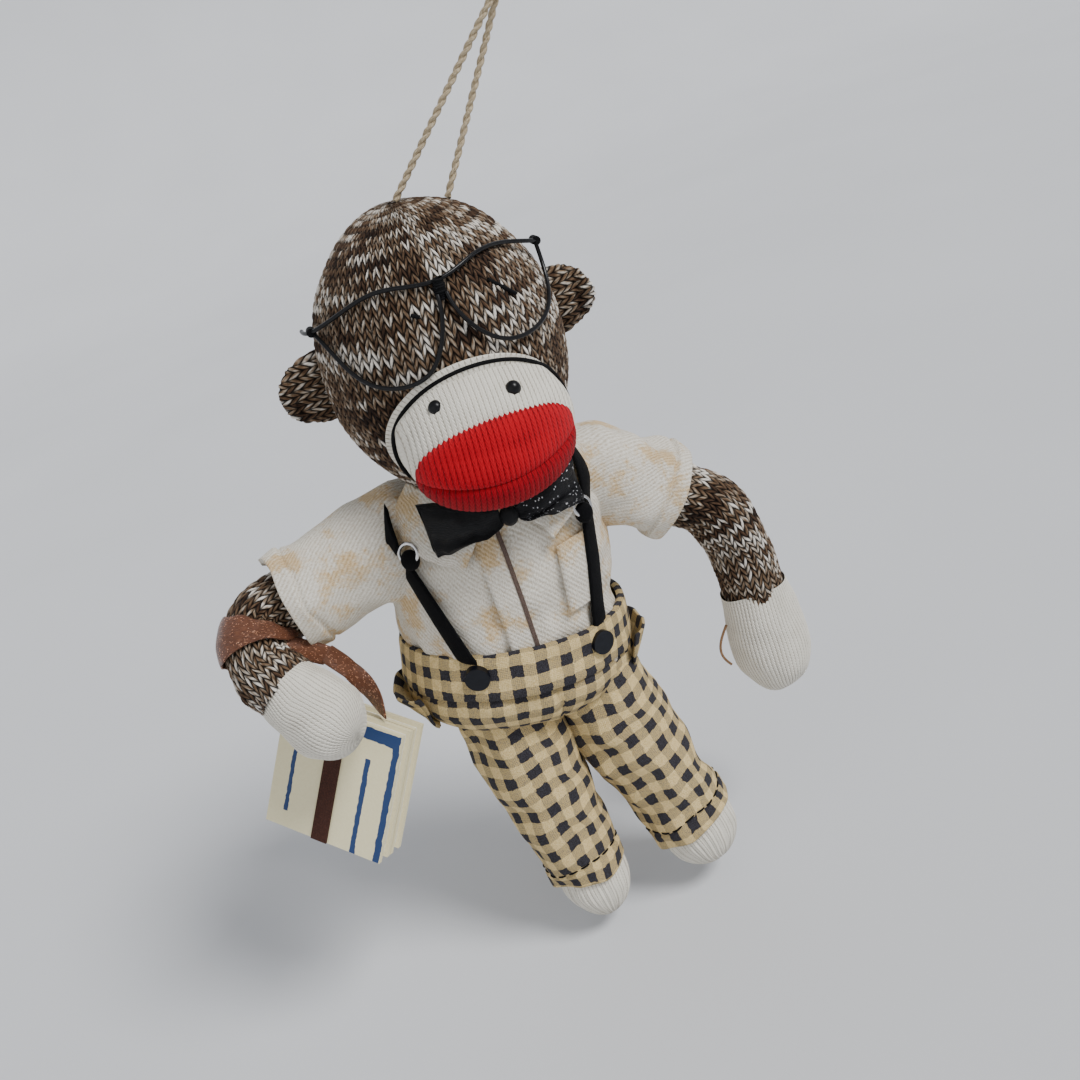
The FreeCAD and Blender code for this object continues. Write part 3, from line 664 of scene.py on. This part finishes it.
def strip(name, centre_x, z, width, lift, material, thickness, back=False, rows=60):
    """A thin strip lying on the trunk from one height to another, used for cloth pieces and for the placket's painted
    fold shadow.
    """
    heights = np.linspace(z[0], z[1], rows)
    middle = np.interp(heights, sorted(z), centre_x if z[0] < z[1] else centre_x[::-1])
    across = np.linspace(-width / 2, width / 2, 7)
    xs = middle[:, None] + across[None]
    zs = heights[:, None] + 0 * across[None]
    points = trunk_front(xs, zs, lift + 0 * xs, back)
    uv = np.stack([across[None] + 0 * xs, lengths(points)[:, None] + 0 * xs], 2)
    made = grid(name, points, uv, material, flip=back)
    return thicken(made, thickness, 0.0)


def build_shirt_trims(cloth, placket_shadow):
    # painted shadow: a thin dark strip stands in for the shadow along the placket's fold
    line = strip("placket_fold_shadow_strip", (-4.9, -4.1), (74.0, 112.0), 1.0, 0.75, placket_shadow, 0.4)
    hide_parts("shirt_placket")
    facing = strip("placket_facing", (-8.0, -7.2), (74.0, 112.0), 5.6, 0.55, cloth, 0.5)
    pocket = strip("chest_pocket_cloth", (8.6, 10.6), (83.0, 100.0), 8.0, 0.85, cloth, 0.5)
    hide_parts("chest_pocket")
    for piece in (line, facing, pocket):
        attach(piece, "trunk")


def build_collar(cloth):
    """Two collar points folded down over the shirt, and the band that stands round the neck."""
    flaps = {
        "right": ((-3.4, -19.6, 115.6), (-18.0, -5.0, 121.3), (-14.2, -21.6, 103.4), (-24.6, -9.5, 115.0)),
        "left": ((1.2, -19.6, 115.2), (17.0, -5.0, 120.2), (6.4, -22.2, 103.0), (22.6, -9.5, 113.0)),
    }
    for side, (inner, outer, tip, edge) in flaps.items():
        s, t = np.meshgrid(np.linspace(0, 1, 40), np.linspace(0, 1, 30))
        s, t = s[..., None], t[..., None]
        flat = (1 - t) * ((1 - s) * inner + s * np.array(outer)) + t * ((1 - s) * np.array(tip) + s * np.array(edge))
        outward = flat - np.array([0, 0, 1]) * flat[..., 2:] * 1.0 - np.array([-1.0, 0.5, 0.0])
        outward = outward / np.linalg.norm(outward, axis=-1)[..., None]
        bulge = 2.6 * np.sin(math.pi * s) * (0.5 + 0.5 * t) + 0.9 * np.sin(math.pi * t)
        points = flat + outward * bulge
        points += lumps(points, 0.5, 0.3, 6.0)[..., None]
        uv = np.stack([flat[..., 0] * 1.4, flat[..., 2] * 1.2], 2)
        flap = thicken(grid(f"{side}_collar_point", points, uv, cloth, flip=side == "left"), 1.0, 0.0)
        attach(flap, "trunk")
        if side == "right":
            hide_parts("shirt_collar")
    angle = np.linspace(0, 2 * math.pi, 120, endpoint=False)
    rows = np.linspace(0, 1, 10)[:, None]
    radius = 18.0 - 2.5 * rows
    points = np.stack([0.3 + radius * np.sin(angle), 0.4 - radius * 0.86 * np.cos(angle),
                       116.0 + 5.0 * rows + 0 * angle], 2)
    band = thicken(grid("collar_band", points, ring_uv(points, 100.0), cloth, wrap=True), 0.9, 0.0)
    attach(band, "trunk")


def build_braces(velvet):
    """Velvet bands from the waist through the rings, over the shoulders and down the back."""
    over = {
        "right": (((-19.9, 78.0), (-25.0, 108.5)), ((-26.2, -12.9, 112.6), (-25.4, -7.0, 117.0), (-23.0, 3.0, 118.6),
                                                  (-20.0, 13.0, 113.0), (-17.5, 19.6, 100.0), (-16.0, 21.4, 76.0))),
        "left": (((9.6, 72.0), (16.2, 104.5)), ((18.6, -15.8, 111.4), (19.4, -8.5, 116.6), (18.5, 3.0, 118.2),
                                             (15.0, 13.0, 112.5), (12.0, 19.8, 100.0), (10.0, 21.4, 72.0))),
    }
    for side, ((low, high), rest) in over.items():
        t = np.linspace(0, 1, 9)
        x, z = low[0] + (high[0] - low[0]) * t, low[1] + (high[1] - low[1]) * t
        front = trunk_front(x, z, np.interp(z, (low[1] + 1.0, low[1] + 4.0), (-1.2, 1.0)))
        path = smooth_path(np.concatenate([front, np.array(rest, float)]), 160)
        out = path - np.array([-2.0, 0.0, 0.0]) - np.stack([0 * path[:, 0], 0 * path[:, 0], np.minimum(path[:, 2], 106)], 1)
        tangent = np.gradient(path, axis=0)
        across = np.cross(tangent, out)
        across /= np.linalg.norm(across, axis=1)[:, None]
        widths = np.linspace(-2.15, 2.15, 9)
        crown = 0.25 * (1 - (widths / 2.15) ** 2)
        out /= np.linalg.norm(out, axis=1)[:, None]
        points = path[:, None] + across[:, None] * widths[None, :, None] + out[:, None] * crown[None, :, None]
        uv = np.stack([widths[None] + 0 * points[..., 0], lengths(points)[:, None] + 0 * points[..., 0]], 2)
        band = thicken(grid(f"{side}_brace_velvet", points, uv, velvet), 0.8, 0.0)
        build_ring_loop(side, velvet)
        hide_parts(f"{side}_brace")
        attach(band, "trunk")


def build_ring_loop(side, velvet):
    """The rounded end of the lower strap, folded through its ring."""
    points = sphere_grid(box_middle(f"{side}_brace_ring") + (-0.1, -0.4, -1.5), (2.1, 1.5, 2.5), 24, 48)
    loop = grid(f"{side}_ring_loop_velvet", points, ring_uv(points, 9.0), velvet, wrap=True)
    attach(loop, "trunk")


def build_bow_tie(cloth, glitter):
    """Two gathered wings and a knot, pushed up under the chin."""
    for side, sign, material in (("right", -1, cloth), ("left", 1, glitter)):
        rows, columns = 36, 60
        t = np.linspace(0, 1, rows)
        angle = np.linspace(0, 2 * math.pi, columns, endpoint=False)
        half = 2.4 + 4.4 * t**0.8
        thick = 1.3 + 0.9 * np.sin(math.pi * t)
        crumple = 0.2 if side == "right" else 0.45
        pleat = 0.35 * np.sin(angle * 5)[None] * (1 - t[:, None]) + crumple * np.sin(angle * 7 + 2 + 5 * t[:, None])
        x = np.tile((sign * (1.8 + 15.4 * t))[:, None], (1, columns))
        square_a = np.sign(np.sin(angle)) * np.abs(np.sin(angle)) ** 0.55
        square_b = np.sign(np.cos(angle)) * np.abs(np.cos(angle)) ** 0.8
        z = half[:, None] * square_a[None]
        y = thick[:, None] * square_b[None] * (1 + pleat)
        centre = np.array([-1.2, -23.6, 113.4])
        lean = 0.20 if side == "right" else 0.10
        points = np.stack([x, y + 0.012 * x**2, z + lean * np.abs(x) * 0.5], 2) + centre
        points += lumps(points, 0.5, 0.35, 2.0)[..., None]
        closed = np.concatenate([points[:1].mean(1, keepdims=True).repeat(columns, 1), points,
                                 points[-1:].mean(1, keepdims=True).repeat(columns, 1)], 0)
        wing = grid(f"{side}_tie_wing_cloth", closed, ring_uv(closed, 30.0), material, wrap=True, flip=sign > 0)
        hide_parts(f"{side}_tie_wing")
        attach(wing, "trunk")
    points = sphere_grid(np.array([-1.2, -24.6, 113.2]), (2.0, 1.8, 2.4), 24, 40)
    knot = grid("tie_knot_cloth", points, ring_uv(points, 12.0), cloth, wrap=True)
    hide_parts("tie_knot")
    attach(knot, "trunk")


def tilted(points, centre):
    """Turns points about the Y axis through a centre by the waist's tilt."""
    p = points - centre
    x = p[..., 0] * math.cos(WAIST_TILT) + p[..., 2] * math.sin(WAIST_TILT)
    z = -p[..., 0] * math.sin(WAIST_TILT) + p[..., 2] * math.cos(WAIST_TILT)
    return np.stack([x, p[..., 1], z], -1) + centre


def waist_rings(profile, columns=220):
    """Rings round the waist from (height, grow) pairs, tilted with the trousers."""
    centre = np.array([-6.8, -1.0, 73.5])
    angle = np.linspace(0, 2 * math.pi, columns, endpoint=False)
    height = np.array([p[0] for p in profile])[:, None]
    grow = np.array([p[1] for p in profile])[:, None]
    points = np.stack([centre[0] + (27.6 + grow) * np.sin(angle)[None],
                       centre[1] - (21.0 + grow) * np.cos(angle)[None], centre[2] + height + 0 * angle[None]], 2)
    return tilted(points, centre)


def build_trousers(check):
    profile = [(5.6, -1.4), (6.1, -0.7), (6.0, 0.3), (4.0, 0.8), (0.0, 1.1), (-4.2, 1.5), (-5.2, 1.3), (-5.7, 0.2)]
    fine = [tuple(np.array(a) + (np.array(b) - np.array(a)) * k / 5) for a, b in zip(profile, profile[1:])
            for k in range(5)]
    points = waist_rings(fine)
    points[..., 1] += lumps(points, 0.7, 0.2, 4.0)
    band = grid("waistband_cloth", points, ring_uv(points, 30 * CHECK * 2), check, wrap=True, flip=True)
    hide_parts("trouser_waistband")
    seat_profile = [(-5.0, 0.2), (-8.0, 0.9), (-11.0, 0.6), (-14.0, -1.4), (-17.0, -5.0), (-20.0, -9.5),
                    (-22.5, -15.0), (-23.6, -20.6)]
    fine = [tuple(np.array(a) + (np.array(b) - np.array(a)) * k / 8) for a, b in zip(seat_profile, seat_profile[1:])
            for k in range(8)]
    points = waist_rings(fine)
    seam = np.exp(-((points[..., 0] + 4.2) / 0.8) ** 2) * (points[..., 1] < -1)
    points[..., 1] += lumps(points, 1.6, 0.11, 6.0) + 1.1 * seam
    seat = grid("seat_cloth", points, ring_uv(points, 30 * CHECK * 2), check, wrap=True, flip=True)
    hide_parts("trouser_seat")
    for piece in (band, seat):
        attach(piece, "trunk")
    for side, sign, top, foot in (("right", -1, (-35.2, 73.5), (-33.0, 63.5)), ("left", 1, (19.4, 66.0), (16.6, 55.5))):
        t, angle = np.meshgrid(np.linspace(0, 1, 24), np.linspace(0, math.pi, 50), indexing="ij")
        stand = 4.6 * (1 - t) ** 0.8 * np.sin(angle) - 0.5
        points = np.stack([top[0] + (foot[0] - top[0]) * t + sign * stand,
                           -4.0 - 9.5 * np.cos(angle) * (1 - 0.25 * t), top[1] + (foot[1] - top[1]) * t], 2)
        points += lumps(points, 0.8, 0.2, 15.0)[..., None]
        uv = np.stack([9.0 * angle, 10.0 * t], 2)
        flare = thicken(grid(f"{side}_pocket_cloth", points, uv, check, flip=sign > 0), 0.7, 0.0)
        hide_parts(f"{side}_hip_pocket")
        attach(flare, "trunk")


# ---------------------------------------------------------------- limbs
def build_trouser_legs(check, cream, thread):
    legs = {
        "right": (((-16.3, -2.5, 66.0), (-15.8, -5.2, 50.0), (-14.0, -9.5, 30.0), (-11.6, -14.0, 8.6)),
                  (12.0, 13.4, 11.6, 9.8)),
        "left": (((6.5, -2.5, 62.0), (8.6, -5.2, 46.0), (13.4, -10.0, 28.0), (18.2, -14.0, 9.6)),
                 (12.0, 13.4, 12.0, 11.2)),
    }
    for side, (stations, radii) in legs.items():
        rows = 120
        path = smooth_path(stations, rows)
        radii = along_path(radii, rows)
        radii[int(rows * 0.93):] += 0.4
        points = tube(path, radii, 140)
        points += lumps(points, 1.2, 0.13, 12.0 if side == "right" else 31.0)[..., None]
        hem = points[-1]
        inner = hem + (path[-1] - hem) * 0.1 + (path[-14] - path[-1]) * np.linspace(0, 1, 14)[:, None, None]
        cloth = np.concatenate([points, inner], 0)
        leg = grid(f"{side}_trouser_cloth", cloth, ring_uv(cloth, 13 * CHECK * 2), check, wrap=True, flip=True)
        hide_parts(f"{side}_trouser_leg")
        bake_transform(leg)
        build_foot(side, path[-30], path[-1], radii[-1], cream)
        build_cuff_stitches(side, points[int(rows * 0.9)], path[int(rows * 0.9)], thread)


def build_foot(side, knee, cuff, narrow, cream):
    along = (cuff - knee) / np.linalg.norm(cuff - knee)
    toe = cuff + along * 13.5 + (0, -1.5, 0)
    path = smooth_path((cuff - along * 14, cuff, cuff + along * 7.5 + (0, -0.6, 0), toe), 80)
    points = tube(path, rounded(80, narrow - 1.6, narrow - 0.8, tip=0.45), 260)
    points += lumps(points, 0.5, 0.15, 21.0)[..., None]
    uv = ring_uv(points, round(2 * math.pi * narrow / FOOT_RIB) * FOOT_RIB)
    foot = grid(f"{side}_foot_knit", raise_ribs(points, uv, FOOT_RIB, 0.35), uv, cream, wrap=True, flip=True)
    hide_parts(f"{side}_foot", f"{side}_leg")
    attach(foot, f"leg_{side}")


def build_cuff_stitches(side, ring, centre, thread):
    """A running stitch of dark thread a little above the trouser hem."""
    count = len(ring)
    stitches = []
    for start in range(0, count, 7):
        bow = np.array([ring[(start + k) % count] for k in range(6)])
        out = (bow - centre) / np.linalg.norm(bow - centre, axis=1)[:, None]
        bow = bow + out * np.array([-0.2, 0.12, 0.2, 0.2, 0.12, -0.2])[:, None]
        stitches.append(tube(bow, np.full(6, 0.24), 8, side_hint=(0, 0, 1)))
    meshes = [grid(f"{side}_cuff_stitch", s, ring_uv(s, 2.0), thread, wrap=True) for s in stitches]
    whole = merge(meshes, f"{side}_cuff_stitches")
    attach(whole, f"leg_{side}")


def build_bridge(thread):
    """The brow wire's middle, bound with turns of black thread."""
    middle = box_middle("bridge_binding")
    turn = np.linspace(0, 9 * 2 * math.pi, 260)
    height = np.linspace(1.7, -2.3, 260)
    reach = 0.7 + 0.3 * np.sin(np.linspace(0, math.pi, 260)) + 0.12 * np.sin(turn * 0.37)
    route = np.stack([reach * np.cos(turn) + 0.12 * height, reach * 0.8 * np.sin(turn), height], 1) + middle
    winding = tube(route, np.full(260, 0.3), 10)
    bridge = grid("bridge_thread", winding, ring_uv(winding, 2.3), thread, wrap=True)
    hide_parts("bridge_binding")
    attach(bridge, "spectacles")


def merge(objects, name):
    """Joins objects into the first one and renames it."""
    with bpy.context.temp_override(active_object=objects[0], selected_editable_objects=objects):
        bpy.ops.object.join()
    objects[0].name = name
    return objects[0]


ARMS = {
    "right": {
        "path": ((-28, -1, 107), (-45, -2, 105), (-60.5, -4.0, 102.5), (-62.5, -10.5, 96.5), (-59.0, -17.5, 90.5)),
        "hand": ((-59.8, -16.0, 91.6), (-57.5, -18.6, 88.6), (-53.5, -23.6, 84.2), (-49.0, -28.5, 79.6)),
        "sleeve": ((-7.0, 0.5, 105.5), (-24.0, -0.5, 107.6), (-39.0, -1.6, 106.4), (-53.0, -2.6, 104.4)),
        "sleeve_radii": (9.5, 13.4, 12.9, 12.0), "arm_radius": 8.2, "hand_radius": 9.6,
    },
    "left": {
        "path": ((24, -1, 105), (38, -2.5, 95.5), (49.5, -4.0, 84.5), (53.0, -5.2, 72), (53.6, -6.2, 58)),
        "hand": ((53.5, -6.0, 61.5), (53.6, -6.3, 57.5), (54.2, -6.6, 44), (55.4, -6.8, 29.6)),
        "sleeve": ((4.0, 0.5, 106.0), (17.0, -0.5, 107.4), (29.0, -1.6, 101.6), (40.2, -2.7, 92.6)),
        "sleeve_radii": (9.0, 12.3, 11.8, 10.6), "arm_radius": 8.1, "hand_radius": 10.0,
    },
}


def arm_line(side):
    return smooth_path(ARMS[side]["path"], 150)


def build_arms(knit, cream, cloth):
    for side, plan in ARMS.items():
        path = arm_line(side)
        points = tube(path, rounded(len(path), plan["arm_radius"], plan["arm_radius"] - 0.5), 200, (0, 0, 1))
        points += lumps(points, 0.6, 0.16, 14.0)[..., None]
        around = round(2 * math.pi * plan["arm_radius"] / STITCH_WIDTH) * STITCH_WIDTH
        uv = ring_uv(points, around)
        points = raise_stitches(points, uv, STITCH_WIDTH, STITCH_ROW, 0.55)
        arm = grid(f"{side}_arm_knit", points, uv, knit, wrap=True, flip=True)
        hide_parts(f"{side}_upper_arm", f"{side}_forearm")
        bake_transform(arm)
        build_hand(side, plan, cream)
        build_sleeve(side, plan, cloth)


def build_hand(side, plan, cream):
    rows = 90
    path = smooth_path(plan["hand"], rows)
    radii = rounded(rows, plan["hand_radius"] - 1.4, plan["hand_radius"], tip=0.5)
    radii *= 1 + 0.10 * np.sin(np.linspace(0, math.pi, rows))
    points = tube(path, radii, 360, (0, 0, 1) if side == "right" else (1, 0, 0), depth=0.88)
    points += lumps(points, 0.6, 0.14, 17.0)[..., None]
    uv = ring_uv(points, round(2 * math.pi * plan["hand_radius"] / RIB_WIDTH) * RIB_WIDTH)
    hand = grid(f"{side}_hand_knit", raise_ribs(points, uv, RIB_WIDTH, 0.16), uv, cream, wrap=True, flip=True)
    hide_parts(f"{side}_hand")
    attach(hand, f"lower_arm_{side}")


def build_sleeve(side, plan, cloth):
    rows = 110
    path = smooth_path(plan["sleeve"], rows)
    radii = along_path(plan["sleeve_radii"], rows)
    place_along = np.linspace(0, 1, rows)
    radii += 0.55 * (place_along > 0.90) - 0.45 * np.exp(-((place_along - 0.895) / 0.012) ** 2)
    points = tube(path, radii, 160, (0, 0, 1), depth=0.93)
    points += lumps(points, 1.7, 0.12, 23.0)[..., None]
    hem = points[-1]
    inner = hem + (path[-1] - hem) * 0.11 + (path[-30] - path[-1]) * np.linspace(0, 1, 20)[:, None, None]
    whole = np.concatenate([points, inner], 0)
    sleeve = grid(f"{side}_sleeve_cloth", whole, ring_uv(whole, 80.0), cloth, wrap=True, flip=True)
    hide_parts(f"{side}_sleeve")
    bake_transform(sleeve)


# ---------------------------------------------------------------- ribbon, twine and small things
def ribbon_strip(name, route, turns, half_width, cloth):
    """A narrow ribbon along a route, turned about it by an angle that changes along the way."""
    path = smooth_path(route, 70)
    side, front = frames_along(path, (0, -1, 0))
    turn = along_path(turns, 70)[:, None]
    across = np.cos(turn) * side + np.sin(turn) * front
    width = np.linspace(-half_width, half_width, 9)
    points = path[:, None] + across[:, None] * width[None, :, None]
    uv = np.stack([width[None] + 0 * points[..., 0], lengths(points)[:, None] + 0 * points[..., 0]], 2)
    return thicken(grid(name, points, uv, cloth), 0.35, 0.0)


def build_ribbon(cloth):
    """Satin wound once round the arm below the sleeve, and its tail down to the books."""
    path = arm_line("right")
    near = np.linalg.norm(path - joint_at("elbow_right"), axis=1).argmin()
    wound = path[near + 1:near + 20]
    bulge = 0.5 * np.sin(np.linspace(0, math.pi, len(wound)))
    points = tube(wound, ARMS["right"]["arm_radius"] + 0.75 + bulge, 120, (0, 0, 1))
    points += lumps(points, 0.7, 0.25, 3.0)[..., None]
    band = thicken(grid("arm_ribbon_satin", points, ring_uv(points, 56.0)[..., ::-1], cloth, wrap=True, flip=True), 0.35, 1.0)
    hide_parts("arm_ribbon")
    knot = joint_at("books_swing")
    link = ribbon_strip("ribbon_link_satin", ((-56.8, -12.5, 100.5), (-53.5, -12.6, 97.6), knot + (0, -0.6, -0.8)),
                        (0.6, 0.9, 1.5), 2.3, cloth)
    tail = ribbon_strip("ribbon_tail_satin", (knot + (0, -0.6, 0.0), knot + (3.4, -1.6, -6.0), (-43.6, -14.6, 82.0),
                                              (-43.4, -15.2, 75.0)), (1.5, 0.8, 2.0, 2.8), 2.2, cloth)
    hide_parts("ribbon_tail")
    for piece, body in ((band, "lower_arm_right"), (link, "lower_arm_right"), (tail, "books")):
        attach(piece, body)


TWINE_ROUTE = ((1.6, -2.0, 178.1), (33.4, -2.6, 207.9), (35.7, 0.0, 208.9), (34.8, 2.4, 206.3), (12.2, -2.0, 175.2))
TWINE_RADIUS, TWINE_LAY = 0.8, 4.6


def twine_line():
    """The route's smooth line, as points in figure-frame millimetres."""
    curve = bpy.data.curves.new("twine_route", "CURVE")
    curve.dimensions = "3D"
    spline = curve.splines.new("NURBS")
    spline.points.add(len(TWINE_ROUTE) - 1)
    for point, at in zip(spline.points, TWINE_ROUTE):
        point.co = (*spot(*at), 1.0)
    spline.order_u = 3
    spline.use_endpoint_u = True
    spline.resolution_u = 24
    holder = bpy.data.objects.new("twine_route", curve)
    bpy.context.scene.collection.objects.link(holder)
    bpy.context.view_layer.update()
    mesh = bpy.data.meshes.new_from_object(holder)
    line = np.array([v.co for v in mesh.vertices])
    bpy.data.objects.remove(holder)
    return (line - ORIGIN) * 1000


def build_twine(fibre):
    line = twine_line()
    chord = np.concatenate([[0], np.cumsum(np.linalg.norm(np.diff(line, axis=0), axis=1))])
    count = 500
    fine = np.stack([np.interp(np.linspace(0, chord[-1], count), chord, line[:, k]) for k in range(3)], 1)
    side, front = frames_along(fine, (0, -1, 0))
    twist = np.linspace(0, chord[-1] / TWINE_LAY * 2 * math.pi, count)
    plies = []
    for phase in (0.0, math.pi):
        offset = side * np.cos(twist + phase)[:, None] + front * np.sin(twist + phase)[:, None]
        strand = tube(fine + offset * TWINE_RADIUS * 0.42, np.full(count, TWINE_RADIUS * 0.56), 12)
        plies.append(grid("twine_ply", strand, ring_uv(strand, 3.0), fibre, wrap=True, flip=True))
    twine = merge(plies, "twine")
    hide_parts("hanging_twine")
    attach(twine, "hanger")


def build_hand_thread(thread):
    t = np.linspace(0, 1, 40)
    start = np.array([43.6, -7.5, 54.5])
    path = start + np.stack([-3.4 * np.sin(2.6 * t) , -1.0 * t, -11.0 * t], 1)
    points = tube(path, np.full(40, 0.34), 10, (1, 0, 0))
    made = grid("hand_thread_end", points, ring_uv(points, 2.0), thread, wrap=True)
    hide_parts("hand_thread")
    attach(made, "lower_arm_left")


def paint(material, *names):
    """Gives CAD nodes a material."""
    for name in names:
        slots = frame["nodes"][name].data.materials
        slots.clear()
        slots.append(material)


# ---------------------------------------------------------------- stage, lights and camera
def build_stage():
    """A pale floor that sweeps up far behind the figure."""
    low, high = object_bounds()
    level = low[2] - 0.004
    turn = np.linspace(-math.pi / 2, 0, 16)
    curve_y = [-3.0] + list(1.2 + 0.9 * np.cos(turn)) + [2.1]
    curve_z = [level] + list(level + 0.9 + 0.9 * np.sin(turn)) + [level + 4.0]
    mesh = bpy.data.meshes.new("floor")
    corners = [(x, y, z) for y, z in zip(curve_y, curve_z) for x in (-4.0, 4.0)]
    mesh.from_pydata(corners, [], [(2 * k, 2 * k + 1, 2 * k + 3, 2 * k + 2) for k in range(len(curve_y) - 1)])
    mesh.polygons.foreach_set("use_smooth", np.ones(len(mesh.polygons), bool))
    floor = bpy.data.objects.new("floor", mesh)
    bpy.context.scene.collection.objects.link(floor)
    g = Graph("pale_floor", roughness=0.9)
    grain = g.noise(g.position(), 6.0, 2.0)
    mesh.materials.append(g.finish(g.mix(grain, (0.60, 0.61, 0.63), (0.66, 0.67, 0.69)), grain, 0.0001))
    floor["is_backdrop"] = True


def sun_light(name, direction, strength, angle):
    light = bpy.data.lights.new(name, "SUN")
    light.energy = strength
    light.angle = angle
    holder = bpy.data.objects.new(name, light)
    holder.rotation_euler = Vector(direction).to_track_quat("-Z", "Y").to_euler()
    bpy.context.scene.collection.objects.link(holder)


def build_lights():
    """A soft key from the upper right, a weak low fill from the left, and an even studio sky."""
    sun_light("key", (-0.50, 0.42, -0.76), 2.9, 0.35)
    sun_light("fill", (0.75, 0.62, -0.25), 0.5, 1.2)
    world = bpy.data.worlds.new("studio")
    world.use_nodes = True
    background = world.node_tree.nodes["Background"]
    background.inputs["Color"].default_value = (0.90, 0.92, 0.96, 1.0)
    background.inputs["Strength"].default_value = 0.55
    bpy.context.scene.world = world


def build_camera():
    """Above the brow and a little to the monkey's right, turned so that the body leans to the left."""
    azimuth, elevation, roll, distance = math.radians(-8), math.radians(25), math.radians(-19.5), 0.238
    aim = spot(4.5, -16, 101)
    back = Vector((math.sin(azimuth) * math.cos(elevation), -math.cos(azimuth) * math.cos(elevation), math.sin(elevation)))
    level = Vector((0, 0, 1)).cross(back).normalized()
    upright = back.cross(level)
    right = level * math.cos(roll) + upright * math.sin(roll)
    above = upright * math.cos(roll) - level * math.sin(roll)
    data = bpy.data.cameras.new("camera")
    data.sensor_width = 36.0
    data.lens = 35.33
    data.clip_start = 0.01
    camera = bpy.data.objects.new("camera", data)
    turn = Matrix((right, above, back)).transposed()
    camera.matrix_world = Matrix.Translation(aim + back * distance) @ turn.to_4x4()
    bpy.context.scene.collection.objects.link(camera)
    bpy.context.scene.camera = camera


def build_books():
    paint(book_cover_card(spot(*BOOK_CORNER)), "front_book_cover", "back_book_cover")
    paint(paper_block(), "front_book_pages", "back_book_pages")
    paint(plain_cloth("strap_tape", (0.075, 0.028, 0.018), (0.035, 0.013, 0.009), 0.6, 0.03), "book_strap")


def main():
    build_camera()
    build_twine(twine_fibre())
    knit = marl_knit()
    # each rib knit's second colour is painted shade for its grooves, mixed with darker random tone
    cream = rib_knit("cream_knit", (0.85, 0.81, 0.71), (0.42, 0.37, 0.29))
    red = rib_knit("red_knit", (0.52, 0.004, 0.014), (0.13, 0.001, 0.004))
    # painted shade: the lower lip's knit is a darker copy of the red knit
    shaded_red = rib_knit("shaded_red_knit", (0.33, 0.003, 0.010), (0.08, 0.001, 0.003))
    cloth, check = flannel(), gingham()
    velvet = plain_cloth("black_velvet", (0.003, 0.003, 0.004), (0.001, 0.001, 0.0015), 0.85, 0.015)
    black_satin = satin("black_satin", (0.003, 0.003, 0.004), (0.001, 0.001, 0.0015))
    glitter = satin("black_glitter", (0.005, 0.005, 0.007), (0.001, 0.001, 0.0015), 0.03)
    brown_satin = satin("brown_satin", (0.19, 0.068, 0.030), (0.07, 0.022, 0.010), 0.05, (0.8, 0.42, 0.26), 0.3, 0.4)
    black_thread = plain_cloth("black_thread", (0.005, 0.005, 0.006), (0.0015, 0.0015, 0.002), 0.7, 0.01)
    brown_thread = plain_cloth("brown_thread", (0.33, 0.20, 0.11), (0.15, 0.08, 0.04), 0.9, 0.05)
    build_head(knit)
    build_ears(knit)
    build_muzzle(cream)
    build_lips(red, shaded_red)
    build_shirt(cloth)
    # the placket line's dark colour is a painted fold shadow
    build_shirt_trims(cloth, plain_cloth("placket_fold_shadow", (0.16, 0.11, 0.09), (0.07, 0.05, 0.04), 0.9, 0.03))
    build_collar(cloth)
    build_braces(velvet)
    build_bow_tie(black_satin, glitter)
    build_trousers(check)
    build_trouser_legs(check, cream, black_thread)
    build_arms(knit, cream, cloth)
    build_ribbon(brown_satin)
    build_hand_thread(brown_thread)
    build_books()
    paint(glossy("bead_black", (0.004, 0.004, 0.005), 0.3), "right_eye", "left_eye")
    paint(glossy("wire_black", (0.005, 0.005, 0.006), 0.28), "brow_wire", "right_rim_wire", "left_rim_wire")
    build_bridge(black_thread)
    paint(black_thread, "muzzle_cord", "right_brow_stitch", "left_brow_stitch", "right_end_binding",
          "left_end_binding")
    paint(glossy("dome_black", (0.004, 0.005, 0.009), 0.35), "right_brace_stud", "left_brace_stud")
    paint(glossy("ring_silver", (0.8, 0.8, 0.8), 0.2, 1.0), "right_brace_ring", "left_brace_ring")
    build_stage()
    build_lights()


main()
low_after, high_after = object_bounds()
rows = {"cad_low": low_before, "cad_high": high_before, "low": low_after, "high": high_after}
"{\n" + ",\n".join(f' "{k}": {json.dumps([round(float(x), 5) for x in v])}' for k, v in rows.items()) + "\n}\n"
